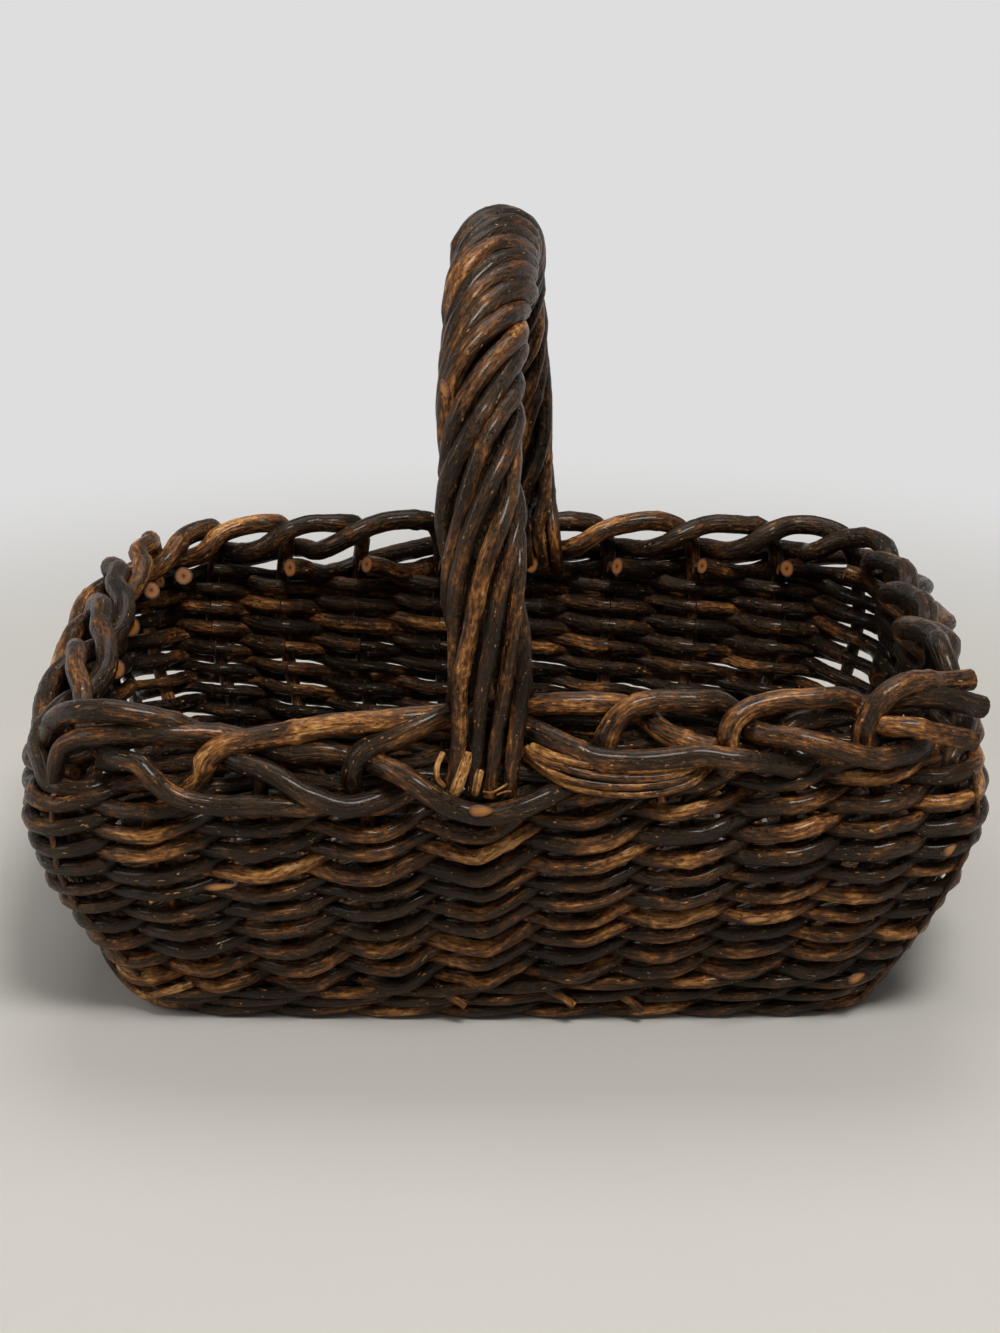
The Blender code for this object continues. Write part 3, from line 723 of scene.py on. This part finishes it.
BRIGHT_STAKES = {
    0: 0.30, 1: 0.54, 2: 0.22, 3: 0.34, 5: 0.46, 6: 0.52, 7: 0.22, 8: 0.44, 9: 0.24, 26: 0.30, 27: 0.28,
}

# %% One stake, from the foot to its cut end
# How many rods the regular route is drawn in at a post. Below nought, it stands further out
RIM_TUCK = (
    (0, 1), (1, 0), (8, 0), (9, -0.5), (14, -0.3), (15, 0), (22, 0.4), (23, 0.8), (24.4, 0.25),
    (26.4, 0.35), (27.4, 1), (28, 1),
)
BEND_END = 0.3
OWN_SWAY, REGULAR_SWAY = 0.02, 0.09
STAKE_FOOT = 6 * MM
STAKE_STOUTNESS = (0.92, 1.08)
# A stake is as thin as in the wall up to its bend, stoutest soon after it, and a little thinner at its cut
UPRIGHT_POINTS, BEND_ROOM, SWELL_SHARE, CUT_TAPER = 60, 6 * MM, 0.08, 0.9


def route_point(post, ahead, out, drop):
    """A point of a route: posts ahead of a post, rods out of the stakes' line, and rods down."""
    return wall_point(post + ahead, BORDER_TOP - drop * BORDER_STEP, out * BORDER_STEP)


def border_stake(post):
    """One stake: up the wall, over the rim by its route, and as stout as the border from the bend on."""
    rng = random.Random(f"stake {post}")
    own = post in OWN_ROUTES
    route = OWN_ROUTES.get(post, BORDER_ROUTE)
    sway = OWN_SWAY if own else REGULAR_SWAY
    bend = BORDER_TOP - route[0][2] * BORDER_STEP
    points = [wall_point(post, height) for height in np.linspace(STAKE_FOOT, bend, 7)[:-1]]
    for ahead, out, drop in route:
        if not own and ahead > BEND_END:
            out -= float(np.interp((post + ahead) % POST_COUNT, *zip(*RIM_TUCK)))
        out, drop = out + rng.uniform(-sway, sway), drop + rng.uniform(-sway, sway)
        points.append(route_point(post, ahead, out, drop))
    line = smooth_line(points)
    butt = BORDER_ROD * rng.uniform(*STAKE_STOUTNESS)
    upright = sum(1 for point in line[:UPRIGHT_POINTS] if point[2] < bend + BEND_ROOM) / len(line)
    widths = (0, upright, upright + SWELL_SHARE, 1), (STAKE, STAKE, butt, butt * CUT_TAPER)
    diameters = np.interp(np.linspace(0, 1, len(line)), *widths)
    tone = BRIGHT_STAKES.get(post, pick_tone(rng))
    return rod(line, diameters, tone, STAKE_GRAIN + post * ROD_LENGTH, f"stake nodes {post}")


number = 0
for post in range(POST_COUNT):
    if post in (FRONT_LEG, BACK_LEG):
        continue
    number += 1
    made = make_rods(f"border_stake_{number:02d}", [border_stake(post)],
                     (f"stake_{number:02d}",))
print("stakes", number, "faces in one", len(made.data.polygons))

# %% [markdown]
# ## Thin rods at the border and the corners
#
# Right of the handle a bundle of four thin rods sags across the front, where a worn place was mended. Behind
# the front border, dark rods packed along the rim close its gaps. At both front corners a thin rod runs up
# against the weaving, partly tucked into it, and at the left corner's foot another one makes a loop.

# %% Mending rods and corner rods
THIN_ROD = 4.8 * MM
# Routes are in posts from the front left corner, rods out and rods down, like those of the border
MENDING_ROUTES = (
    ((4.45, 0.5, 1.1), (4.6, 1.1, 1.4), (4.8, 1.5, 1.55), (5.08, 1.65, 1.88), (5.5, 1.7, 2.02),
     (5.92, 1.4, 1.96), (6.15, 0.7, 1.8)),
    ((4.45, 0.5, 1.35), (4.6, 1.1, 1.65), (4.82, 1.5, 2), (5.12, 1.65, 2.26), (5.55, 1.65, 2.36),
     (5.96, 1.3, 2.2), (6.18, 0.5, 2)),
    ((4.45, 0.4, 1.5), (4.62, 1, 1.9), (4.86, 1.45, 2.38), (5.2, 1.6, 2.66), (5.62, 1.6, 2.72),
     (6, 1.25, 2.45), (6.2, 0.4, 2.25)),
    ((4.5, 0.6, 0.95), (4.68, 1.2, 1.12), (4.9, 1.55, 1.3), (5.2, 1.55, 1.62), (5.6, 1.6, 1.7),
     (6.05, 1.2, 1.72), (6.25, 0.5, 1.7)),
)
PACKING_ROD = 9.5 * MM
# Each run starts and ends at a post, so many rods out and rods down
PACKING_RUNS = (
    (0.20, 3.75, -0.75, 0.75), (0.35, 3.85, -0.35, 1.75), (4.15, 8.85, -0.90, 0.62),
    (4.20, 8.70, -0.20, 1.45), (0.60, 3.90, -0.10, 2.60), (4.10, 8.80, 0.05, 2.35),
)
PACKING_POINTS = 16
OUT_WANDER, DROP_WANDER = 0.15, 0.12
CORNER_ROD = 3.4 * MM
CORNER_POSTS = ((0.12, 11.0 * MM), (9.0, 13.5 * MM))
CORNER_LOW, CORNER_HIGH, CORNER_POINTS = 4 * MM, 150 * MM, 9
CORNER_SWAY, SWAYS_A_METRE = 0.03, 60
CORNER_LOOP = (
    (-0.75, 34, 12), (-0.45, 26, 13.5), (-0.2, 16, 14.5), (0.05, 10, 15), (0.35, 18, 14), (0.7, 25, 11),
)
THIN_TAPER, THIN_WEAR = 0.85, 0.8


def thin_rod(points, diameter, tone, label):
    """A thin rod or an end through a few points, a little thinner at its far end."""
    start = random.Random(label).uniform(*THIN_GRAIN)
    return rod(smooth_line(points), (diameter, diameter * THIN_TAPER), tone, start, label, (THIN_WEAR,))


def packing_rod(first, last, out, drop):
    """A rod along the rim from one place to another, which wanders in and out and up and down."""
    points = []
    for ahead in np.linspace(first, last, PACKING_POINTS):
        wander_out = OUT_WANDER * math.sin(ahead * 4 + drop)
        wander_down = DROP_WANDER * math.sin(ahead * 5.3 + out * 9)
        points.append(route_point(0, ahead, out + wander_out, drop + wander_down))
    return thin_rod(points, PACKING_ROD, 0.24, f"packing {first}")


def corner_rod(post, out):
    """A thin rod up a corner, swaying a little from side to side."""
    points = [wall_point(post + CORNER_SWAY * math.sin(height * SWAYS_A_METRE), height, out)
              for height in np.linspace(CORNER_LOW, CORNER_HIGH, CORNER_POINTS)]
    return thin_rod(points, CORNER_ROD, 0.36, f"corner {post}")


mending = []
for index, route in enumerate(MENDING_ROUTES):
    points = [route_point(0, *knot) for knot in route]
    mending.append(thin_rod(points, THIN_ROD, 0.46 + 0.05 * index, f"mend {index}"))
make_rods("mending_rods", mending, roughness=FINE_BARK)
make_rods("packing_rods", [packing_rod(*run) for run in PACKING_RUNS])
corner_loop = [wall_point(post, height * MM, out * MM) for post, height, out in CORNER_LOOP]
corners = [corner_rod(*place) for place in CORNER_POSTS]
corners.append(thin_rod(corner_loop, THIN_ROD, 0.56, "corner loop"))
make_rods("corner_rods", corners, roughness=FINE_BARK)

# %% [markdown]
# ## Foot
#
# The first rounds are a wale: three rods worked together, each in front of two stakes and behind one, which
# gives the foot its long, nearly level twists.

# %% Foot wale
FOOT_ROD = 7.0 * MM
FOOT_LEVELS = (0.0, 0.36, 0.70)
WALE_RODS, WALE_START, WALE_SHIFT = 3, 15, 2.3
WALE_STEPS = 6
WALE_OUT = 0.45
FOOT_BOTTOM, FOOT_HEADROOM, FOOT_WAVE, WAVE_START = 4.5 * MM, 9 * MM, 2.0 * MM, 0.5
FLOOR_GAP = 0.2 * MM
FOOT_TAPER = 0.9
LEVEL_GRAIN = 20


def wale_rod(level, lead):
    """One of the rods of a wale, once round the basket: out over two posts, in behind the third."""
    rng = random.Random(f"wale {level} {lead}")
    points, wear = [], []
    begin = WALE_START + WALE_SHIFT * level + lead
    for index in range(POST_COUNT * WALE_STEPS + 1):
        post = begin + index / WALE_STEPS
        turn = 2 * math.pi * index / WALE_STEPS / WALE_RODS
        out = (STAKE + FOOT_ROD) / 2 * (WALE_OUT + math.cos(turn))
        climb = FOOT_LEVELS[level] * (row_height(0, post) - FOOT_HEADROOM)
        height = FOOT_BOTTOM + climb + FOOT_WAVE * math.sin(turn + WAVE_START)
        points.append(wall_point(post, max(height, FOOT_ROD / 2 + FLOOR_GAP), out))
        wear.append(max(0, math.cos(turn)))
    start = WALE_GRAIN + level * LEVEL_GRAIN + lead * ROD_LENGTH
    label = f"wale nodes {level} {lead}"
    return rod(smooth_line(points), (FOOT_ROD, FOOT_ROD * FOOT_TAPER), pick_tone(rng), start, label, wear)


wale = [wale_rod(level, lead) for level in range(len(FOOT_LEVELS)) for lead in range(WALE_RODS)]
foot = make_rods("foot_wale_rods", wale, ("foot_wale",), FINE_BARK)
print("foot wale faces", len(foot.data.polygons))

# %% [markdown]
# ## Cut knots and rod ends
#
# Where a side shoot or a broken rod was trimmed, the knife left a pale oval. A flattened sphere pressed into
# the bark gives the oval its soft rim. Low at the front, three rods of the base end in plain sight.

# %% Cut knots
def on_wall(post, height, out):
    """A point on the wall in millimetres, with the way that the wall faces there."""
    point = wall_point(post, height * MM, out * MM)
    outward = point - wall_point(post, height * MM, (out - 5) * MM)
    return point, math.atan2(outward[0], -outward[1])


# A knot's place with the way it faces, its half sizes in millimetres and its tilt in degrees
KNOTS = (
    (on_wall(4.03, 150.2, 29.4), (6.4, 1.8, 3.2), 0), (on_wall(1.60, 98.9, 13.5), (8.4, 1.5, 1.9), 7),
    (on_wall(6.86, 74.6, 14.4), (8.0, 1.5, 1.8), 4), (on_wall(8.76, 112.0, 13.2), (4.6, 1.6, 2.5), 30),
    (on_wall(8.57, 29.4, 14.3), (5.4, 1.6, 2.8), 20),
    ((np.array((-0.0286, -0.1176, 0.3403)), -0.8), (3.4, 1.6, 6.6), 12),
)
KNOT_RIM, KNOT_TAPER = 0.95, 0.35


def make_knots():
    """All the knots as one piece: flattened spheres, narrower at one end, facing outwards."""
    bpy.ops.object.select_all(action="DESELECT")
    made = []
    for (middle, facing), sizes, tilt in KNOTS:
        bpy.ops.mesh.primitive_uv_sphere_add(segments=24, ring_count=16, radius=1.0, location=middle,
                                             rotation=(0, math.radians(-tilt), facing),
                                             scale=[size * MM for size in sizes])
        knot = bpy.context.active_object
        edge = knot.data.attributes.new("edge", "FLOAT", "POINT")
        for vertex, value in zip(knot.data.vertices, edge.data):
            across, up = vertex.co.x / (sizes[0] * MM), vertex.co.z / (sizes[2] * MM)
            value.value = (KNOT_RIM * math.hypot(across, up)) ** 2
            vertex.co.z *= 1 - KNOT_TAPER * across
        made.append(knot)
    for knot in made:
        knot.select_set(True)
    bpy.ops.object.join()
    knots = bpy.context.active_object
    bpy.ops.object.transform_apply(location=True, rotation=True, scale=True)
    bpy.ops.object.shade_smooth()
    knots.name = knots.data.name = "cut_knots"
    knot_wood = make_cut("trimmed_willow_knot", "edge", (220, 220, 900), 0.7, KNOT_STOPS, 0.4, 0.6)
    knots.data.materials.append(knot_wood)
    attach(knots, "root")
    return knots


print("cut knots", len(KNOTS), "faces", len(make_knots().data.polygons))

# %% Rod ends at the foot
END_PLACES = ((3.79, 13.0), (5.07, 13.0), (5.94, 8.5))
# Three points of an end: posts to the side of the cut, then height above it and how far out, in millimetres
END_WAY = ((-0.34, 9, 9), (-0.15, 4.5, 13), (0, 0, 16))
END_ROD = 5.4 * MM

ends = []
for post, height in END_PLACES:
    points = [wall_point(post + ahead, (height + up) * MM, out * MM) for ahead, up, out in END_WAY]
    ends.append(thin_rod(points, END_ROD, 0.40, f"end {post}"))
make_rods("foot_ends", ends, roughness=SMOOTH_BARK)

# %% [markdown]
# ## Handle
#
# A bow, which is one thick rod, is pushed down beside the stakes on both long sides. Sets of thinner rods
# are pushed in beside it and wound round it to the other side, which makes the rope. At each foot the inner
# rods run down inside the wall and the outer ones down over the border. At the front some ends are split.

# %% Bow and rope
HANDLE_HEIGHT = 412 * MM
BOW, BOW_LEG = 21 * MM, 11 * MM
STRAND = 10.8 * MM
STRAND_TAPER = (0.66, 0.76, 0.82, 0.94, 1.06, 1.06, 0.98, 0.86, 0.80, 0.76, 0.68)
STRAND_RING = 17.0 * MM
STRANDS = 9
STRAND_TURNS = 3
TOP_TIGHTER = 0.52
STRAND_LIFT = 3.4 * MM
TAIL_OUTS = (13 * MM, 13 * MM, 13 * MM)
TAIL_INS = (-17 * MM, -20 * MM, -8 * MM)
TAIL_LEAN = 0.10
TAIL_DROPS = (8 * MM, 22 * MM, 40 * MM)
TAIL_SPREAD = 0.86
ROPE_CROOK = 0.016
STRAND_STOUTNESS = (0.90, 1.12)

front_top = wall_point(FRONT_LEG, RIM_HEIGHT)
back_top = wall_point(BACK_LEG, RIM_HEIGHT)
ARCH_MIDDLE = (front_top + back_top) / 2
ARCH_HALF = (front_top - back_top) / 2
ARCH_ROOM = 4 * MM
ARCH_RISE = HANDLE_HEIGHT - ARCH_ROOM - RIM_HEIGHT - STRAND_RING - STRAND / 2
ARCH_STEPS, ARCH_FINENESS = 110, 721
# How far the old handle is bent to the right, in millimetres, at shares of its length from the front
HANDLE_CROOK = (
    (0, 5), (0.07, 4), (0.15, 0), (0.3, -4.5), (0.4, -3), (0.5, -3), (0.6, -4), (0.7, -6), (0.8, -3), (1, 0),
)


def arch_line(count):
    """Points of the handle's arch at equal steps, from the front leg to the back leg."""
    turn = np.linspace(0, math.pi, ARCH_FINENESS)[:, None]
    fine = ARCH_MIDDLE + ARCH_HALF * np.cos(turn) + np.array((0, 0, ARCH_RISE)) * np.sin(turn)
    walked = distances(fine)
    even = np.linspace(STRAND_LIFT, walked[-1] - STRAND_LIFT, count)
    line = points_at(even, walked, fine)
    line[:, 0] += np.interp(even / walked[-1], *zip(*HANDLE_CROOK)) * MM
    return line


def tail(leg, begin, way, drops):
    """Where a strand runs down past the border, outside the wall or inside it, leaning a little."""
    angle = (2 * math.pi * begin + math.pi) % (2 * math.pi) - math.pi
    outs = TAIL_OUTS
    if abs(angle) > math.pi / 2:
        angle, outs = math.copysign(math.pi, angle) - angle, TAIL_INS
    aside = angle * STRANDS / (2 * math.pi) * STRAND * way
    across = np.array((1.0, 0.0, 0.0))
    crook = HANDLE_CROOK[0][1] * MM if way > 0 else 0.0
    points = []
    for drop, out in zip(drops, outs):
        shift = aside * TAIL_SPREAD + crook - way * TAIL_LEAN * drop
        points.append(wall_point(leg, RIM_HEIGHT - drop, out) + across * shift)
    return points


def rope_strand(number):
    """A strand: tail, rope and tail. The rope is wound steeply at the feet and tighter over the top."""
    rng = random.Random(f"strand {number}")
    arch = arch_line(ARCH_STEPS)
    tangent = np.gradient(arch, axis=0)
    tangent /= np.linalg.norm(tangent, axis=1)[:, None]
    sideways = np.cross((0, 0, 1), ARCH_HALF)
    sideways /= np.linalg.norm(sideways)
    outward = np.cross(sideways, tangent)
    share = np.linspace(0, 1, len(arch))
    begin = (number + 0.5) / STRANDS
    wound = STRAND_TURNS * (share - TOP_TIGHTER * np.sin(2 * math.pi * share) / (2 * math.pi))
    crooked = ROPE_CROOK * np.sin(2 * math.pi * (share * rng.uniform(3, 6) + rng.random()))
    angle = 2 * math.pi * (begin + wound + crooked)[:, None]
    swell = rng.uniform(0.7, 1.4) * MM
    ring = STRAND_RING + swell * np.sin(2 * math.pi * (share * rng.uniform(4, 9) + rng.random()))
    points = arch + (outward * np.cos(angle) + sideways * np.sin(angle)) * ring[:, None]
    drops = [drop + rng.uniform(-2, 1) * MM for drop in TAIL_DROPS]
    front, back = tail(FRONT_LEG, begin, 1, drops)[::-1], tail(BACK_LEG, -begin, -1, drops)
    line = smooth_line([*front, *points[2:-2], *back])
    diameters = STRAND * rng.uniform(*STRAND_STOUTNESS) * np.array(STRAND_TAPER)
    start = STRAND_GRAIN + number * ROD_LENGTH
    return rod(line, diameters, STRAND_TONES[number], start, f"strand nodes {number}", (STRAND_WEAR,))


STRAND_TONES, STRAND_WEAR = (0.42, 0.26, 0.34, 0.48, 0.24, 0.38, 0.30, 0.44, 0.28), 0.6
for number in range(STRANDS):
    made = make_rods(f"rope_strand_{number + 1}", [rope_strand(number)],
                     (f"handle_strand_{number + 1}",))
print("strands", STRANDS, "faces in one", len(made.data.polygons))

# %% Split ends at the handle's foot
# A sliver's thickness in millimetres, and its route from the front leg
SLIVERS = (
    (6.4, ((-0.09, 1.10, 0.95), (-0.14, 1.42, 1.60), (-0.18, 1.58, 2.10), (-0.22, 1.50, 2.60))),
    (4.6, ((0.01, 1.20, 1.70), (-0.01, 1.50, 2.10), (-0.03, 1.50, 2.60))),
    (3.0, ((-0.33, 0.90, 1.00), (-0.38, 1.25, 1.45), (-0.37, 1.40, 1.95), (-0.31, 1.30, 2.30))),
    (1.3, ((0.05, 1.50, 2.50), (0.12, 1.78, 2.42), (0.20, 1.85, 2.22), (0.27, 1.75, 2.05))),
    (1.2, ((0.30, 1.50, 2.50), (0.24, 1.80, 2.38), (0.17, 1.85, 2.50))),
)
slivers = []
for index, (width, route) in enumerate(SLIVERS):
    points = [route_point(FRONT_LEG, *knot) for knot in route]
    slivers.append(thin_rod(points, width * MM, 0.86 - 0.06 * index, f"sliver {index}"))
make_rods("foot_slivers", slivers, roughness=FINE_BARK)

# %% The bow inside the rope
# The bow is pointed at its feet, drawn thin where it stands in the wall, and thick from the rim up
BOW_FOOT, BOW_POINT = 10 * MM, 5 * MM
BOW_HEIGHTS = (BOW_FOOT, 40 * MM, RIM_HEIGHT, RIM_HEIGHT + 8 * MM)
BOW_WIDTHS = (BOW_POINT, BOW_LEG, BOW_LEG, BOW)
BOW_TONE = 0.12

leg_heights = np.linspace(BOW_FOOT, RIM_HEIGHT, 8)
legs = [[wall_point(leg, height) for height in leg_heights] for leg in (FRONT_LEG, BACK_LEG)]
bow_line = smooth_line([*legs[0], *arch_line(40), *legs[1][::-1]])
bow = rod(bow_line, np.interp(bow_line[:, 2], BOW_HEIGHTS, BOW_WIDTHS), BOW_TONE, BOW_GRAIN, "bow")
make_rods("bow", [bow], ("handle_bow",))

# %% [markdown]
# ## Base
#
# The base is woven first on the real basket: sticks laid lengthwise and rods woven across them, over one
# and under the next, packed close.

# %% Base
BASE_STICK, BASE_ROD = 8 * MM, 6.6 * MM
STICK_ROWS = (-69 * MM, -23 * MM, 23 * MM, 69 * MM)
BASE_LEVEL = 13.5 * MM
BASE_PITCH = 7.2 * MM
BASE_REACH = 187.2 * MM


STICK_MARGIN, STICK_TAPER, STICK_TONE = 3 * MM, 0.9, 0.35
BASE_MARGIN, BASE_TAPER = 1 * MM, 0.92
BASE_CORNER, CORNER_SLOPE = 150 * MM, 0.7


def base_stick(y):
    """A stick from end to end of the base, hardly bent."""
    reach = BASE_HALF_LENGTH - STICK_MARGIN
    points = [(-reach, y, BASE_LEVEL), (0, y + 0.6 * MM, BASE_LEVEL), (reach, y, BASE_LEVEL)]
    widths = (BASE_STICK, BASE_STICK * STICK_TAPER)
    return rod(smooth_line(points, 6 * MM), widths, STICK_TONE, STICK_GRAIN + y * 100, f"stick {y}")


def base_rod(index, x):
    """A rod across the base, over one stick and under the next, shorter where the corners are round."""
    rng = random.Random(f"base {index}")
    swing = (BASE_STICK + BASE_ROD) / 2 * (1 if index % 2 else -1)
    turn = BASE_HALF_WIDTH - BASE_MARGIN - max(0.0, abs(x) - BASE_CORNER) * CORNER_SLOPE
    points = [(x, -turn, BASE_LEVEL)]
    for row, y in enumerate(STICK_ROWS):
        points.append((x + rng.uniform(-0.5, 0.5) * MM, y, BASE_LEVEL + swing * (1 if row % 2 else -1)))
    points.append((x, turn, BASE_LEVEL))
    line = smooth_line(points, 4 * MM)
    start = BASE_GRAIN + index * ROD_LENGTH
    return rod(line, (BASE_ROD, BASE_ROD * BASE_TAPER), pick_tone(rng), start, f"base nodes {index}")


for number, y in enumerate(STICK_ROWS, 1):
    make_rods(f"base_stick_rod_{number}", [base_stick(y)], (f"base_stick_{number}",),
              SMOOTH_BARK)
places = np.arange(-BASE_REACH, BASE_REACH + 1e-6, BASE_PITCH)
base_rods = [base_rod(index, x) for index, x in enumerate(places)]
base = make_rods("base_weave", base_rods, ("base_weaver",), FINE_BARK)
print("base rods", len(places), "faces", len(base.data.polygons))

# %% [markdown]
# ## Floor and light
#
# The basket stands on a plain pale floor in soft daylight from large lamps, as in a photographer's room.
# Large lamps give the long soft glints along the rods that show the varnish. Further out the floor fades
# into a pale backdrop. Only the camera, a gloss and clear glass see it, and soft light meets the floor.

# %% Floor
FLOOR_EDGE, PALE_EDGE = 0.45, 0.95
FLOOR_SIZE, WALL_DISTANCE, WALL_HEIGHT = 40, 19, 3
FLOOR_GREY, BACKDROP_GREY = "#bdb9b1", "#dedede"


def seen_directly(tree):
    """One for the rays that show the background: to the camera, in a gloss and through glass."""
    rays = add(tree, "ShaderNodeLightPath")
    seen = add(tree, "ShaderNodeMath", {"operation": "ADD"}, _0=rays.outputs["Is Camera Ray"],
               _1=rays.outputs["Is Glossy Ray"])
    seen = add(tree, "ShaderNodeMath", {"operation": "ADD", "use_clamp": True}, _0=seen.outputs["Value"],
               _1=rays.outputs["Is Transmission Ray"])
    return seen.outputs["Value"]


def backdrop_light(tree):
    """The backdrop's plain pale light, as bright from everywhere."""
    return add(tree, "ShaderNodeEmission", Color=linear(BACKDROP_GREY), Strength=1.0).outputs["Emission"]


def make_floor():
    """Matt pale floor that takes the shadow, and turns into a plain pale backdrop further out."""
    material, tree = new_material("pale_floor")
    place = add(tree, "ShaderNodeTexCoord").outputs["Object"]
    away = add(tree, "ShaderNodeVectorMath", {"operation": "LENGTH"}, _0=place).outputs["Value"]
    far = add(tree, "ShaderNodeMapRange", {"interpolation_type": "SMOOTHSTEP"}, Value=away,
              From_Min=FLOOR_EDGE, From_Max=PALE_EDGE).outputs["Result"]
    share = add(tree, "ShaderNodeMath", {"operation": "MULTIPLY"}, _0=far, _1=seen_directly(tree))
    floor_paint = add(tree, "ShaderNodeBsdfPrincipled", Base_Color=linear(FLOOR_GREY), Roughness=0.85)
    both = add(tree, "ShaderNodeMixShader", _0=share.outputs["Value"], _1=floor_paint.outputs["BSDF"],
               _2=backdrop_light(tree))
    add(tree, "ShaderNodeOutputMaterial", Surface=both.outputs["Shader"])
    bpy.ops.object.select_all(action="DESELECT")
    bpy.ops.mesh.primitive_plane_add(size=FLOOR_SIZE, location=(0, 0, 0))
    floor = bpy.context.active_object
    floor.name = "floor"
    floor.data.materials.append(material)


def make_backdrop():
    """A low round wall far away, for views from lower down. Light from the world passes through it."""
    material, tree = new_material("pale_backdrop")
    clear = add(tree, "ShaderNodeBsdfTransparent")
    both = add(tree, "ShaderNodeMixShader", _0=seen_directly(tree), _1=clear.outputs["BSDF"],
               _2=backdrop_light(tree))
    add(tree, "ShaderNodeOutputMaterial", Surface=both.outputs["Shader"])
    bpy.ops.object.select_all(action="DESELECT")
    bpy.ops.mesh.primitive_cylinder_add(vertices=96, radius=WALL_DISTANCE, depth=WALL_HEIGHT,
                                        end_fill_type="NOTHING", location=(0, 0, WALL_HEIGHT / 2))
    wall = bpy.context.active_object
    wall.name = "backdrop"
    wall.data.materials.append(material)


make_floor()
make_backdrop()


# %% Lamps and world
def area_lamp(name, place, aim, size, power, colour="#ffffff"):
    """A rectangular lamp that shines at a point."""
    data = bpy.data.lights.new(name, "AREA")
    data.shape = "RECTANGLE"
    data.size, data.size_y = size
    data.energy = power
    data.color = linear(colour)[:3]
    lamp = bpy.data.objects.new(name, data)
    lamp.location = place
    lamp.rotation_euler = (Vector(aim) - Vector(place)).to_track_quat("-Z", "Y").to_euler()
    bpy.context.scene.collection.objects.link(lamp)


AIM = (0, 0, 0.15)
area_lamp("key", (0.45, -1.05, 2.2), AIM, (0.75, 0.5), 42)
area_lamp("fill", (-1.9, -0.7, 1.3), AIM, (1.0, 1.0), 12)
area_lamp("top", (0, 0.7, 2.2), AIM, (1.6, 1.2), 22)

world = bpy.data.worlds.new("studio")
bpy.context.scene.world = world
world.use_nodes = True
background = world.node_tree.nodes["Background"]
background.inputs["Color"].default_value = linear("#f4f4f4")
background.inputs["Strength"].default_value = 0.22
bpy.context.scene.view_settings.view_transform = "Standard"
